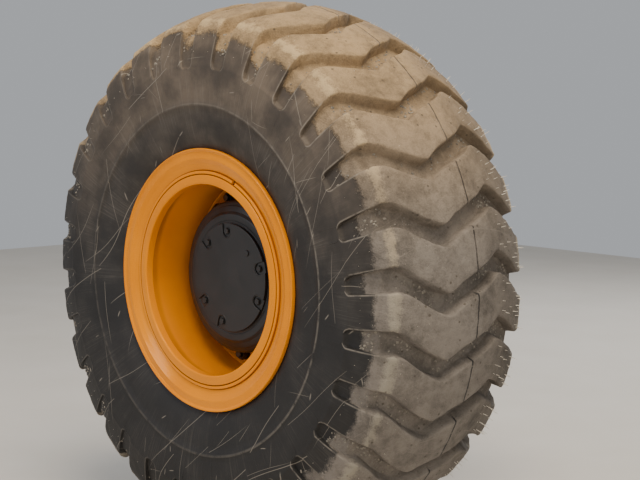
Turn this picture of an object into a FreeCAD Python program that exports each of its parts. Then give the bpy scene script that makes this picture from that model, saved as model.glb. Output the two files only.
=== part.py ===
import FreeCAD, Part
import math
import os
from FreeCAD import Vector

# Wheel end of a wheel loader: a 23.5-25 earthmover tyre on a five-piece rim, its
# planetary hub, and the axle arm that carries them.
# Millimetres, +Z up. The wheel turns about Y and its outer side faces -Y.
# Pieces are drawn about the wheel's centre and moved so that the origin is the
# centre of the face where the arm bolts to the axle's centre housing.

# Where things stand along the axle, from the wheel's centre plane, outboard negative
wheel_reach = 790.0

# Tyre
tyre_radius = 808.0
tyre_half_width = 297.5
shoulder_radius = 744.0
shoulder_half_width = 251.0
bevel_radius = 716.0
bevel_half_width = 270.0
waist_radius = 480.0
waist_half_width = 288.0
carcass_wall = 34.0
tread_thickness = 76.0
belt_half_width = 170.0
bead_width = 78.0
tyre_seat_gap = 0.3

# Lugs: grooves cross the tread in an S and run down both sidewalls as slots
lug_count = 28
first_groove = 4.0
groove_width = 60.0
groove_depth = 38.0
groove_draft = 7.0
groove_swing = 50.0
swing_half_width = 98.0
swing_start = 218.0
shoulder_swing = 24.0
shoulder_groove_width = 66.0
shoulder_drop = 34.0
shoulder_inset = 20.0
bevel_drop = 15.0
slot_depth = 14.0
slot_draft = 3.0
slot_radius = 612.0
slot_swing = 10.0
slot_width = 48.0

# Rim
bead_radius = 317.5
rim_width = 495.3
flange_radius = 381.0
flange_throat = 46.5
flange_lip = 27.0
flange_lip_wall = 15.0
flange_dish = 14.0
flange_throat_round = 22.0
flange_edge_round = 6.0
flange_hollow_radius = 351.0
flange_hollow_depth = 11.0
flange_hollow_round = 16.0
flange_crest_round = 10.0
flange_foot = 20.0
flange_crest_rise = 14.5
flange_crest = 3.0
barrel_bore = 290.0
barrel_wall = 12.0
back_seat_width = 64.0
back_seat_slope = 24.0
back_seat_round = 8.0
stop_rise = 5.0
stop_width = 8.0
gutter_bore = 277.0
gutter_length = 26.0
gutter_lip_radius = 301.0
gutter_groove_depth = 6.0
gutter_groove_width = 12.0
gutter_edge = 3.0
gutter_neck = 10.0
gutter_reach = 267.0
lock_ring_width = 17.0
lock_ring_gap = 12.0
lock_ring_angle = 67.0
band_length = 92.0
band_slope = 14.0
ring_edge = 3.0
ring_fit = 0.3

# Wheel disc and its nuts
disc_face = 50.0
disc_thickness = 25.0
disc_centre_radius = 226.0
pilot_fit = 0.2
stud_count = 24
stud_circle = 256.0
stud_radius = 11.0
stud_hole_fit = 1.0
nut_across_flats = 34.0
nut_height = 22.0
stud_showing = 10.0

# Hub, final drive and cover
hub_flange_radius = 278.0
hub_flange_thickness = 30.0
hub_drum_radius = 205.0
hub_drum_end = 40.0
hub_neck_radius = 150.0
hub_neck_end = 128.0
hub_neck_slope = 26.0
hub_drum_taper = 12.0
hub_drum_slope = 14.0
hub_edge = 3.0
pilot_height = 14.0
drive_radius = 225.0
drive_shoulder = 146.0
drive_round = 14.0
drive_step_radius = 186.0
drive_step = 12.0
drive_step_lean = 8.0
drive_end = 164.0
cover_radius = 160.0
cover_thickness = 10.0
cover_edge = 3.0
scallop_floor = 5.0
cover_groups = 3
cover_group_turn = -4.0
cover_bolt_spread = 20.5
cover_bolt_circle = 137.0
cover_scallop_radius = 17.0
cover_bolt_head = 11.0
cover_bolt_height = 7.0
plug_circle = 112.0
plug_angle = 45.0
plug_radius = 9.0
plug_height = 4.0

# Spindle and its seal
spindle_radius = 80.0
spindle_end_gap = 5.0
spindle_bore = 36.0
spindle_flange_radius = 150.0
spindle_flange_thickness = 18.0
spindle_root_round = 6.0
running_fit = 0.05
seal_radius = 108.0
seal_width = 14.0
seal_fit = 0.3
seal_showing = 6.0

# Brake
brake_disc_radius = 222.0
brake_disc_bore = 118.0
brake_disc_thickness = 16.0
brake_gap = 17.0
bracket_thickness = 18.0
bracket_reach = 262.0
caliper_inner_radius = 164.0
caliper_outer_radius = 268.0
caliper_half_angle = 20.0
caliper_angle = 180.0
caliper_cover = 10.0
caliper_bridge_gap = 10.0
pad_thickness = 16.0
pad_clearance = 1.0
pad_half_angle = 15.0
pad_inner_radius = 168.0
pad_inset = 2.0
piston_radius = 30.0
piston_length = 22.0
piston_spread = 9.0
port_radius = 6.0
port_depth = 14.0

# Axle arm
arm_flange_radius = 150.0
arm_flange_thickness = 28.0
arm_flange_slope = 10.0
arm_neck_radius = 104.0
arm_neck_round = 20.0
arm_waist_radius = 118.0
arm_swell_radius = 132.0
arm_swell_round = 60.0
arm_root_radius = 172.0
arm_root_length = 150.0
arm_bore = 46.0
mount_flange_radius = 245.0
mount_flange_thickness = 30.0
mount_bolt_count = 18
mount_bolt_circle = 218.0
mount_bolt_radius = 9.0
spigot_radius = 180.0
spigot_height = 12.0
spigot_edge = 2.0
rib_count = 6
rib_thickness = 18.0
rib_length = 120.0
rib_tip_inset = 22.0
rib_tip_height = 8.0
pad_seat_height = 150.0
pad_seat_half_width = 165.0
pad_seat_half_length = 95.0
pad_seat_inset = 245.0
pad_seat_thickness = 46.0
pad_seat_corner = 24.0
pad_web_half_width = 78.0
pad_bolt_x = 130.0
pad_bolt_y = 62.0
pad_bolt_radius = 17.0

# Half shaft and the bush that carries it
shaft_radius = 28.0
shaft_head_radius = 30.0
shaft_shoulder_run = 20.0
shaft_showing = 76.0
shaft_end_gap = 8.0
spline_count = 20
spline_root_radius = 26.0
spline_length = 60.0
bush_length = 40.0

# Valve
valve_angle = 12.0
valve_plane = 150.0
valve_rise = 24.0
valve_drop = 16.0
valve_spud_radius = 10.0
valve_stem_radius = 6.0
valve_length = 60.0
valve_cap_radius = 9.0
valve_cap_length = 16.0

tiny = 0.01
overrun = 5.0
run_bend = 2.2
spin_axis = Vector(0, 1, 0)
centre = Vector(0, 0, 0)

# What follows from the sizes above
rim_half_width = rim_width / 2
hub_face = disc_face - disc_thickness
pilot_end = hub_face + pilot_height
spindle_end = pilot_end - spindle_end_gap
brake_face = hub_neck_end + brake_disc_thickness
spindle_flange_face = brake_face + brake_gap
bracket_face = spindle_flange_face + spindle_flange_thickness
arm_face = bracket_face + bracket_thickness


def outline(corners):
    # Closed wire of lines through the corners (point, rounding radius)
    legs = []
    count = len(corners)
    for index, (point, rounding) in enumerate(corners):
        if rounding <= 0:
            legs.append((point, None, point))
            continue
        back = (corners[index - 1][0] - point).normalize()
        ahead = (corners[(index + 1) % count][0] - point).normalize()
        half = back.getAngle(ahead) / 2
        run = rounding / math.tan(half)
        inward = (back + ahead).normalize()
        middle = point + inward * (rounding / math.sin(half) - rounding)
        legs.append((point + back * run, middle, point + ahead * run))
    edges = []
    for index, (start, middle, end) in enumerate(legs):
        if middle is not None:
            edges.append(Part.Arc(start, middle, end).toShape())
        following = legs[(index + 1) % count][0]
        if (following - end).Length > tiny:
            edges.append(Part.LineSegment(end, following).toShape())
    return Part.Wire(edges)


def eased(corners):
    # Points of a closed section whose rounded corners are short straight runs
    points = []
    count = len(corners)
    for index, (point, rounding) in enumerate(corners):
        if rounding <= 0:
            points.append(point)
            continue
        back = (corners[index - 1][0] - point).normalize()
        ahead = (corners[(index + 1) % count][0] - point).normalize()
        half = back.getAngle(ahead) / 2
        middle = point + (back + ahead).normalize() * (rounding / math.sin(half))
        start = point + back * (rounding / math.tan(half)) - middle
        end = point + ahead * (rounding / math.tan(half)) - middle
        bend = math.pi - 2 * half
        steps = max(1, round(bend * math.sqrt(rounding) / run_bend))
        for step in range(steps + 1):
            share = step / steps
            from_start = math.sin((1 - share) * bend) / math.sin(bend)
            from_end = math.sin(share * bend) / math.sin(bend)
            points.append(middle + start * from_start + end * from_end)
    return points


def turned(corners, side=1):
    # Solid of revolution about the axle from corners (radius, reach, rounding)
    section = []
    for corner in corners:
        radius, reach = corner[0], corner[1]
        rounding = corner[2] if len(corner) > 2 else 0
        section.append((Vector(radius, side * reach, 0), rounding))
    points = eased(section)
    return Part.Face(Part.makePolygon(points + points[:1])).revolve(centre, spin_axis, 360)


def sleeve(inner, outer, start, end):
    return turned([(inner, start), (outer, start), (outer, end), (inner, end)])


def rod(radius, start, end):
    return Part.makeCylinder(radius, end - start, Vector(0, start, 0), spin_axis)


def spun(shape, angle):
    # Copy turned about the axle, angle counted from +X towards +Z
    copy = shape.copy()
    copy.rotate(centre, spin_axis, -angle)
    return copy


def around(shape, angles):
    return [spun(shape, angle) for angle in angles]


def evenly(count, start=0.0):
    return [start + 360.0 * index / count for index in range(count)]


def sector(inner, outer, start, end, half_angle):
    # Ring piece centred on +X
    ring = Part.Face(outline([
        (Vector(inner, start, 0), 0),
        (Vector(outer, start, 0), 0),
        (Vector(outer, end, 0), 0),
        (Vector(inner, end, 0), 0),
    ]))
    ring.rotate(centre, spin_axis, half_angle)
    return ring.revolve(centre, spin_axis, -2 * half_angle)


def box(half_x, y_range, z_range):
    return Part.makeBox(
        2 * half_x,
        y_range[1] - y_range[0],
        z_range[1] - z_range[0],
        Vector(-half_x, y_range[0], z_range[0]),
    )


def hexagon(across_flats, start, end):
    across_corners = across_flats / 2 / math.cos(math.radians(30))
    corners = []
    for angle in evenly(6):
        turn = math.radians(angle)
        point = Vector(across_corners * math.cos(turn), start, across_corners * math.sin(turn))
        corners.append((point, 0))
    return Part.Face(outline(corners)).extrude(Vector(0, end - start, 0))


def save(name, shape):
    placed = shape.copy()
    placed.translate(Vector(0, -wheel_reach, 0))
    placed.exportStep("parts/%s.step" % name)
    print(name, len(placed.Solids), "solids", round(placed.Volume / 1000), "cm3")


# Radius and reach of the flange's side that the tyre bears on
def flange_back():
    throat_radius = bead_radius + flange_throat
    return (throat_radius, rim_half_width), (flange_radius, rim_half_width + flange_dish)


def crown_radius(reach):
    fall = tyre_radius - shoulder_radius
    bend = (shoulder_half_width ** 2 + fall ** 2) / (2 * fall)
    return tyre_radius - bend + math.sqrt(bend ** 2 - reach ** 2)


def tyre_rows():
    # Section rows from the outboard toe over the crown to the inboard toe. Each is
    # radius, reach, groove middle, groove width, floor radius, floor reach, floor width
    throat, lip = flange_back()
    lean = (lip[1] - throat[1]) / (lip[0] - throat[0])
    heel_reach = rim_half_width - tyre_seat_gap
    lip_radius = flange_radius + tyre_seat_gap
    lip_reach = throat[1] - 2 * tyre_seat_gap + (lip_radius - throat[0]) * lean
    plain = [
        (bead_radius + tyre_seat_gap, rim_half_width - bead_width),
        (bead_radius + tyre_seat_gap, heel_reach),
        (throat[0], heel_reach),
        (lip_radius, lip_reach),
        (waist_radius, waist_half_width),
    ]
    half = [(radius, -reach, 0, slot_width * radius / slot_radius) for radius, reach in plain]
    half += [
        (slot_radius, -tyre_half_width, slot_swing, slot_width,
         slot_radius + slot_draft, slot_depth - tyre_half_width, slot_width - 2 * slot_draft),
        (bevel_radius, -bevel_half_width, (slot_swing + shoulder_swing) / 2,
         (slot_width + shoulder_groove_width) / 2, bevel_radius - bevel_drop,
         slot_depth - bevel_half_width, (slot_width + shoulder_groove_width) / 2 - 2 * slot_draft),
        (shoulder_radius, -shoulder_half_width, shoulder_swing, shoulder_groove_width,
         shoulder_radius - shoulder_drop, shoulder_inset - shoulder_half_width,
         shoulder_groove_width - 2 * groove_draft),
    ]
    for reach, swing in ((swing_start, shoulder_swing), (swing_half_width, -groove_swing), (0, 0)):
        radius = crown_radius(reach)
        half.append((radius, -reach, swing, groove_width,
                     radius - groove_depth, -reach, groove_width - 2 * groove_draft))
    return half + [mirrored_row(row) for row in reversed(half[:-1])]


def mirrored_row(row):
    radius, reach, middle, width = row[:4]
    floor = row[4:]
    if floor:
        floor = (floor[0], -floor[1], floor[2])
    return (radius, -reach, -middle, width) + tuple(floor)


def cavity_rows():
    # The same columns for the air space, from the outboard toe back to the inboard one
    half = [
        (waist_radius, carcass_wall - waist_half_width),
        (slot_radius, carcass_wall - tyre_half_width),
        (tyre_radius - tread_thickness, -belt_half_width),
    ]
    rows = [(radius, reach, 0, slot_width * radius / slot_radius) for radius, reach in half]
    return rows + [mirrored_row(row) for row in reversed(rows)]


def wheel_point(radius, reach, angle):
    turn = math.radians(angle)
    return Vector(radius * math.cos(turn), reach, radius * math.sin(turn))


def row_points(row, groove_angle):
    # Both groove edges, the next lug's middle and its far edge, then the floor's edges
    radius, reach, middle, width = row[:4]
    pitch = 360.0 / lug_count
    start = groove_angle + math.degrees((middle - width / 2) / radius)
    end = groove_angle + math.degrees((middle + width / 2) / radius)
    angles = [start, end, (end + start + pitch) / 2, start + pitch]
    points = [wheel_point(radius, reach, angle) for angle in angles]
    if len(row) > 4:
        floor_radius, floor_reach, floor_width = row[4:]
        spread = floor_width / 2
        for edge in (middle - spread, middle + spread):
            angle = groove_angle + math.degrees(edge / radius)
            points.append(wheel_point(floor_radius, floor_reach, angle))
    return points


def facet(a, b, c, d):
    # Flat face through four corners, or two triangles where they twist
    if abs((b - a).cross(c - a).normalize().dot(d - a)) < tiny / 10:
        return [Part.Face(Part.makePolygon([a, b, c, d, a]))]
    return [Part.Face(Part.makePolygon([a, b, c, a])), Part.Face(Part.makePolygon([a, c, d, a]))]


def strip(one, two):
    # Facets between two neighbouring rows over one pitch
    faces = facet(one[1], one[2], two[2], two[1]) + facet(one[2], one[3], two[3], two[2])
    if len(one) > 4 and len(two) > 4:
        faces += facet(one[0], one[4], two[4], two[0])
        faces += facet(one[4], one[5], two[5], two[4])
        faces += facet(one[5], one[1], two[1], two[5])
        return faces
    grooved = one if len(one) > 4 else two
    if len(grooved) > 4:
        faces += facet(grooved[0], grooved[1], grooved[5], grooved[4])
    return faces + facet(one[0], one[1], two[1], two[0])


def make_tyre():
    outside = tyre_rows()
    inside = cavity_rows()
    ring = outside + list(reversed(inside))
    faces = []
    for groove_angle in evenly(lug_count, first_groove):
        points = [row_points(row, groove_angle) for row in ring]
        for index, row in enumerate(points):
            faces += strip(points[index - 1], row)
    tyre = Part.Solid(Part.Shell(faces))
    if tyre.Volume < 0:
        tyre.reverse()
    return tyre


def make_flange(side):
    throat, lip = flange_back()
    lip_reach = rim_half_width + flange_lip
    return turned([
        (bead_radius + ring_fit, rim_half_width),
        (throat[0], throat[1], flange_throat_round),
        (lip[0], lip[1], flange_edge_round),
        (flange_radius, lip_reach, flange_edge_round),
        (flange_radius - flange_lip_wall, lip_reach, flange_edge_round),
        (flange_hollow_radius, lip_reach - flange_hollow_depth, flange_hollow_round),
        (bead_radius + flange_crest_rise, rim_half_width + flange_foot + flange_crest,
         flange_crest_round),
        (bead_radius + ring_fit, rim_half_width + flange_foot),
    ], side)


def make_rim_base():
    # Barrel with its back bead seat inboard and its lock ring gutter outboard
    barrel_outer = barrel_bore + barrel_wall
    seat_start = rim_half_width - back_seat_width
    back_end = rim_half_width + flange_foot + flange_crest + ring_fit
    gutter_start = gutter_reach - gutter_length
    groove_radius = barrel_outer - gutter_groove_depth
    lip_start = gutter_start + gutter_groove_width
    return turned([
        (barrel_bore, back_end + stop_width, gutter_edge),
        (bead_radius + stop_rise, back_end + stop_width, gutter_edge),
        (bead_radius + stop_rise, back_end),
        (bead_radius, back_end),
        (bead_radius, seat_start),
        (barrel_outer, seat_start - back_seat_slope, back_seat_round),
        (barrel_outer, -gutter_start),
        (groove_radius, -gutter_start),
        (groove_radius, -lip_start),
        (gutter_lip_radius, -lip_start - gutter_edge),
        (gutter_lip_radius, -gutter_reach, gutter_edge),
        (gutter_bore, -gutter_reach, 2 * gutter_edge),
        (gutter_bore, -gutter_start),
        (barrel_bore, gutter_neck - gutter_start),
    ])


def make_bead_seat_band():
    # Ring that the outer bead and the outer flange sit on, held by the lock ring
    inner = barrel_bore + barrel_wall + ring_fit
    outer_end = rim_half_width + flange_foot - lock_ring_width
    return turned([
        (inner, outer_end - band_length),
        (bead_radius, outer_end - band_length + band_slope, ring_edge),
        (bead_radius, outer_end),
        (inner, outer_end),
    ], -1)


def make_lock_ring():
    # Split ring between the gutter and the bead seat band
    inner = barrel_bore + barrel_wall + ring_fit
    start = rim_half_width + flange_foot - lock_ring_width + ring_fit
    ring = turned([
        (inner, start),
        (bead_radius, start),
        (bead_radius, start + lock_ring_width, ring_edge),
        (inner, start + lock_ring_width, ring_edge),
    ], -1)
    end = start + lock_ring_width
    split = box(lock_ring_gap / 2, (-end - overrun, overrun - start),
                (inner - overrun, bead_radius + overrun))
    split = spun(split, lock_ring_angle - 90)
    return ring.cut(split)


def make_rim_disc():
    plate = sleeve(disc_centre_radius, barrel_bore - ring_fit / 2, -disc_face, -hub_face)
    hole = rod(stud_radius + stud_hole_fit, -disc_face - overrun, overrun - hub_face)
    hole.translate(Vector(stud_circle, 0, 0))
    return plate.cut(around(hole, evenly(stud_count)))


def make_wheel_hub():
    # Wheel flange with its pilot outboard, drum and brake neck inboard
    bore = spindle_radius + running_fit
    flange_back_face = hub_face - hub_flange_thickness
    pilot_radius = disc_centre_radius - pilot_fit
    seal_seat = hub_neck_end - seal_width
    return turned([
        (bore, -pilot_end),
        (pilot_radius, -pilot_end, hub_edge),
        (pilot_radius, -hub_face),
        (hub_flange_radius, -hub_face, hub_edge),
        (hub_flange_radius, -flange_back_face, hub_edge),
        (hub_drum_radius, hub_drum_slope - flange_back_face, hub_drum_slope),
        (hub_drum_radius - hub_drum_taper, hub_drum_end, hub_drum_taper),
        (hub_neck_radius, hub_drum_end + hub_neck_slope, hub_drum_taper),
        (hub_neck_radius, hub_neck_end),
        (seal_radius + seal_fit, hub_neck_end),
        (seal_radius + seal_fit, seal_seat),
        (bore, seal_seat),
    ])


def make_final_drive():
    # Planetary housing that stands out through the disc
    return turned([
        (0, -pilot_end),
        (drive_radius, -pilot_end),
        (drive_radius, -drive_shoulder, drive_round),
        (drive_step_radius + drive_step_lean, -(drive_shoulder + drive_step), drive_step / 2),
        (drive_step_radius, -drive_end, drive_step / 2),
        (0, -drive_end),
    ])


def cover_angles():
    angles = []
    for group in evenly(cover_groups, cover_group_turn):
        angles += [group - cover_bolt_spread, group + cover_bolt_spread]
    return angles


def make_hub_cover():
    # Round plate with a scallop in its edge at each bolt
    face = drive_end + cover_thickness
    plate = turned([
        (0, -drive_end),
        (cover_radius, -drive_end),
        (cover_radius, -face, cover_edge),
        (0, -face),
    ])
    floor = drive_end + scallop_floor
    scallop = rod(cover_scallop_radius, -face - overrun, -floor)
    outward = Part.makeBox(
        cover_radius - cover_bolt_circle + overrun,
        face + overrun - floor,
        2 * cover_scallop_radius,
        Vector(0, -face - overrun, -cover_scallop_radius),
    )
    scallop = scallop.fuse(outward)
    scallop.translate(Vector(cover_bolt_circle, 0, 0))
    hole = rod(plug_radius, -face - overrun, overrun - drive_end)
    hole.translate(Vector(plug_circle, 0, 0))
    return plate.cut(around(scallop, cover_angles()) + [spun(hole, plug_angle)])


def make_cover_bolts():
    floor = drive_end + scallop_floor
    head = rod(cover_bolt_head, -(floor + cover_bolt_height), -floor)
    head.translate(Vector(cover_bolt_circle, 0, 0))
    return Part.makeCompound(around(head, cover_angles()))


def make_oil_plug():
    plug = rod(plug_radius - ring_fit, -(drive_end + cover_thickness + plug_height), -drive_end)
    plug.translate(Vector(plug_circle, 0, 0))
    return spun(plug, plug_angle)


def make_wheel_nuts():
    # Each solid is a nut with the end of its stud
    nut = hexagon(nut_across_flats, -(disc_face + nut_height), -disc_face)
    stud = rod(stud_radius, -(disc_face + nut_height + stud_showing), -hub_face)
    nut = nut.fuse(stud)
    nut.translate(Vector(stud_circle, 0, 0))
    return Part.makeCompound(around(nut, evenly(stud_count)))


def make_brake_disc():
    return sleeve(brake_disc_bore, brake_disc_radius, hub_neck_end, brake_face)


def make_spindle():
    return turned([
        (spindle_bore, -spindle_end),
        (spindle_radius, -spindle_end, hub_edge),
        (spindle_radius, spindle_flange_face, spindle_root_round),
        (spindle_flange_radius, spindle_flange_face, hub_edge),
        (spindle_flange_radius, bracket_face),
        (spindle_bore, bracket_face),
    ])


def make_hub_seal():
    start = hub_neck_end - seal_width + seal_fit
    return sleeve(spindle_radius, seal_radius, start, hub_neck_end + seal_showing)


def make_brake_bracket():
    # Plate held between spindle and arm, with an ear that carries the caliper
    plate = sleeve(spindle_bore, arm_flange_radius, bracket_face, arm_face)
    ear = sector(spindle_radius, bracket_reach, bracket_face, arm_face, caliper_half_angle)
    return plate.fuse(spun(ear, caliper_angle)).removeSplitter()


def make_caliper():
    # Bridge over the edge of the brake disc, open on the hub's side
    pad_outside = hub_neck_end - pad_clearance - pad_thickness
    pad_inside = brake_face + pad_clearance + pad_thickness
    start = pad_outside - caliper_cover
    body = sector(caliper_inner_radius, caliper_outer_radius, start, bracket_face, caliper_half_angle)
    slot_radius = brake_disc_radius + caliper_bridge_gap
    slot = sector(caliper_inner_radius - overrun, slot_radius, pad_outside, pad_inside,
                  caliper_half_angle + overrun)
    body = body.cut(slot)
    piston_circle = (pad_inner_radius + brake_disc_radius) / 2
    piston = rod(piston_radius, start - piston_length, start + tiny)
    piston.translate(Vector(piston_circle, 0, 0))
    body = body.fuse(around(piston, [-piston_spread, piston_spread]))
    port = Part.makeCylinder(
        port_radius,
        port_depth + overrun,
        Vector(caliper_outer_radius + overrun, (pad_inside + bracket_face) / 2, 0),
        Vector(-1, 0, 0),
    )
    return spun(body.cut(port), caliper_angle)


def make_pad(start):
    pad = sector(pad_inner_radius, brake_disc_radius - pad_inset, start, start + pad_thickness,
                 pad_half_angle)
    return spun(pad, caliper_angle)


def make_axle_arm():
    # Cast arm: end flange, neck, waist under the frame seat and the mounting flange
    mount_back = wheel_reach - mount_flange_thickness
    arm = turned([
        (arm_bore, arm_face),
        (arm_flange_radius, arm_face),
        (arm_flange_radius, arm_face + arm_flange_thickness, hub_edge),
        (arm_neck_radius, arm_face + arm_flange_thickness + arm_flange_slope, arm_neck_round),
        (arm_waist_radius, wheel_reach - pad_seat_inset - pad_seat_half_length),
        (arm_swell_radius, mount_back - arm_root_length, arm_swell_round),
        (arm_root_radius, mount_back, arm_neck_round),
        (mount_flange_radius, mount_back, hub_edge),
        (mount_flange_radius, wheel_reach),
        (spigot_radius, wheel_reach),
        (spigot_radius, wheel_reach + spigot_height, spigot_edge),
        (arm_bore, wheel_reach + spigot_height),
    ])
    arm = arm.fuse([frame_seat()] + around(flange_rib(), evenly(rib_count, 30)))
    bolt = rod(mount_bolt_radius, mount_back - overrun, wheel_reach + overrun)
    bolt.translate(Vector(mount_bolt_circle, 0, 0))
    cuts = around(bolt, evenly(mount_bolt_count, 10))
    seat_y = wheel_reach - pad_seat_inset
    for x in (-pad_bolt_x, pad_bolt_x):
        for y in (seat_y - pad_bolt_y, seat_y + pad_bolt_y):
            cuts.append(Part.makeCylinder(pad_bolt_radius, pad_seat_height + overrun, Vector(x, y, 0)))
    cuts.append(rod(arm_bore, arm_face - overrun, wheel_reach + spigot_height + overrun))
    return arm.cut(cuts)


def frame_seat():
    # Pad on top of the arm that the machine's frame is bolted down on
    seat_y = wheel_reach - pad_seat_inset
    top = []
    for x, y in ((-1, -1), (1, -1), (1, 1), (-1, 1)):
        point = Vector(x * pad_seat_half_width, seat_y + y * pad_seat_half_length,
                       pad_seat_height - pad_seat_thickness)
        top.append((point, pad_seat_corner))
    plate = Part.Face(outline(top)).extrude(Vector(0, 0, pad_seat_thickness))
    web_y = (seat_y - pad_seat_half_length, seat_y + pad_seat_half_length)
    web = box(pad_web_half_width, web_y, (0, pad_seat_height - pad_seat_thickness / 2))
    return plate.fuse(web)


def flange_rib():
    # Triangular rib between the arm and the back of the mounting flange
    mount_back = wheel_reach - mount_flange_thickness
    foot = arm_bore + overrun
    tip = mount_bolt_circle - rib_tip_inset
    points = [
        (foot, mount_back - rib_length),
        (foot, wheel_reach - overrun),
        (tip, wheel_reach - overrun),
        (tip, mount_back - rib_tip_height),
        (arm_waist_radius, mount_back - rib_length),
    ]
    corners = [(Vector(x, y, -rib_thickness / 2), 0) for x, y in points]
    return Part.Face(outline(corners)).extrude(Vector(0, 0, rib_thickness))


def make_half_shaft():
    # Shaft from the differential to the final drive, with its splined inner end
    spline_end = wheel_reach + shaft_showing
    spline_start = spline_end - spline_length
    corners = []
    for tooth in evenly(spline_count):
        step = 360.0 / spline_count
        for offset, radius in ((0, spline_root_radius), (0.4, spline_root_radius),
                               (0.5, shaft_radius), (0.9, shaft_radius)):
            turn = math.radians(tooth + offset * step)
            point = Vector(radius * math.cos(turn), spline_start, radius * math.sin(turn))
            corners.append((point, 0))
    spline = Part.Face(outline(corners)).extrude(Vector(0, spline_length, 0))
    shoulder = wheel_reach - bush_length - shaft_shoulder_run
    body = rod(shaft_head_radius, shoulder, spline_start)
    stem = rod(shaft_radius, shaft_end_gap - pilot_end, shoulder)
    return stem.fuse([body, spline])


def make_shaft_bush():
    end = wheel_reach + spigot_height
    return sleeve(shaft_head_radius + running_fit, arm_bore, end - bush_length, end)


def make_valve_stem():
    # Stem on a spud in the barrel, lying along it towards the open side
    seat = barrel_bore - ring_fit
    spud = Part.makeCylinder(valve_spud_radius, valve_rise, Vector(seat - valve_rise, 0, 0),
                             Vector(1, 0, 0))
    stem = rod(valve_stem_radius, -valve_length, 0)
    stem.translate(Vector(seat - valve_drop, 0, 0))
    valve = spud.fuse(stem)
    valve.translate(Vector(0, -valve_plane, 0))
    return spun(valve, valve_angle)


def make_valve_cap():
    start = valve_plane + valve_length
    cap = rod(valve_cap_radius, -(start + valve_cap_length), -start)
    cap.translate(Vector(barrel_bore - ring_fit - valve_drop, 0, 0))
    return spun(cap, valve_angle)


os.makedirs("parts", exist_ok=True)

save("tyre", make_tyre())
save("rim_base", make_rim_base())
save("outer_flange", make_flange(-1))
save("inner_flange", make_flange(1))
save("bead_seat_band", make_bead_seat_band())
save("lock_ring", make_lock_ring())
save("rim_disc", make_rim_disc())
save("wheel_hub", make_wheel_hub())
save("final_drive", make_final_drive())
save("hub_cover", make_hub_cover())
save("cover_bolts", make_cover_bolts())
save("oil_plug", make_oil_plug())
save("wheel_nuts", make_wheel_nuts())
save("brake_disc", make_brake_disc())
save("valve_stem", make_valve_stem())
save("valve_cap", make_valve_cap())

save("spindle", make_spindle())
save("hub_seal", make_hub_seal())
save("brake_bracket", make_brake_bracket())
save("brake_caliper", make_caliper())
save("outer_brake_pad", make_pad(hub_neck_end - pad_clearance - pad_thickness))
save("inner_brake_pad", make_pad(brake_face + pad_clearance))
save("axle_arm", make_axle_arm())
save("shaft_bush", make_shaft_bush())

save("half_shaft", make_half_shaft())
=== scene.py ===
import math
from functools import partial
import bmesh
import bpy
import numpy as np
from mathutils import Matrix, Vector, noise as steadyNoise


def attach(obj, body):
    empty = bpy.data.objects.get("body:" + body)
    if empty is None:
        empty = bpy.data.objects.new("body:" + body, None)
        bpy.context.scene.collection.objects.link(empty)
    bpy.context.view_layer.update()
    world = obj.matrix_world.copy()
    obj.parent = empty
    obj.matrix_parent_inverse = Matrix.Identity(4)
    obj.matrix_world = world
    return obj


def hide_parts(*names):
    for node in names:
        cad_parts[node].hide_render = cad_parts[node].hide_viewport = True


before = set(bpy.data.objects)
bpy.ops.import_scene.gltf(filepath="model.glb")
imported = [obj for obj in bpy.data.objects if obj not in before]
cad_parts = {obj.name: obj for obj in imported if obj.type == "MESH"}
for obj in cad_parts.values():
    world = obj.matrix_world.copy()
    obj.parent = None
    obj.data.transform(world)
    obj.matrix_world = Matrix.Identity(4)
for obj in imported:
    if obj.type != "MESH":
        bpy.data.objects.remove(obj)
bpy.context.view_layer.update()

# Wheel end of a wheel loader: earthmover tyre, orange five-piece rim, planetary hub, disc brake and axle arm.
# Sizes in the dictionaries are millimetres about the wheel's centre, reach is along the axle and negative outboard.
axleCentre = Vector((0, -0.790, 0))
mm = 0.001


def srgb(hexValue):
    channels = [int(hexValue[i:i + 2], 16) / 255 for i in (1, 3, 5)]
    return tuple(c / 12.92 if c <= 0.04045 else ((c + 0.055) / 1.055) ** 2.4 for c in channels) + (1.0,)


# inputs: sockets by name or number, each with a value, another node or one of its sockets, settings: the node's own
def addNode(tree, kind, inputs=None, **settings):
    node = tree.nodes.new(kind)
    for name, value in settings.items():
        setattr(node, name, value)
    for name, value in (inputs or {}).items():
        if isinstance(value, bpy.types.Node):
            value = next(socket for socket in value.outputs if socket.enabled)
        if isinstance(value, bpy.types.NodeSocket):
            tree.links.new(value, node.inputs[name])
        else:
            node.inputs[name].default_value = value
    return node


times, plus, timesPlus, absolute = [{"operation": kind} for kind in ("MULTIPLY", "ADD", "MULTIPLY_ADD", "ABSOLUTE")]
smooth, colours = {"interpolation_type": "SMOOTHSTEP"}, {"data_type": "RGBA"}


def pieceFrom(name, points, faces, sharpAngle=None):
    mesh = bpy.data.meshes.new(name)
    mesh.from_pydata([tuple(p) for p in points], [], faces)
    piece = bpy.data.objects.new(name, mesh)
    bpy.context.scene.collection.objects.link(piece)
    if sharpAngle is not None:
        tidyMesh(mesh, sharpAngle)
    return piece


def tidyMesh(mesh, sharpAngle, mergeDistance=0.00002):
    work = bmesh.new()
    work.from_mesh(mesh)
    bmesh.ops.remove_doubles(work, verts=work.verts, dist=mergeDistance)
    bmesh.ops.dissolve_degenerate(work, edges=work.edges, dist=mergeDistance / 4)
    bmesh.ops.recalc_face_normals(work, faces=work.faces)
    work.to_mesh(mesh)
    work.free()
    mesh.shade_smooth()
    mesh.set_sharp_from_angle(angle=math.radians(sharpAngle))
    # a plate's plan face stays flat beside its rounded edge
    for face in mesh.polygons:
        if len(face.vertices) > 8:
            face.use_smooth = False
    mesh.update()


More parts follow.
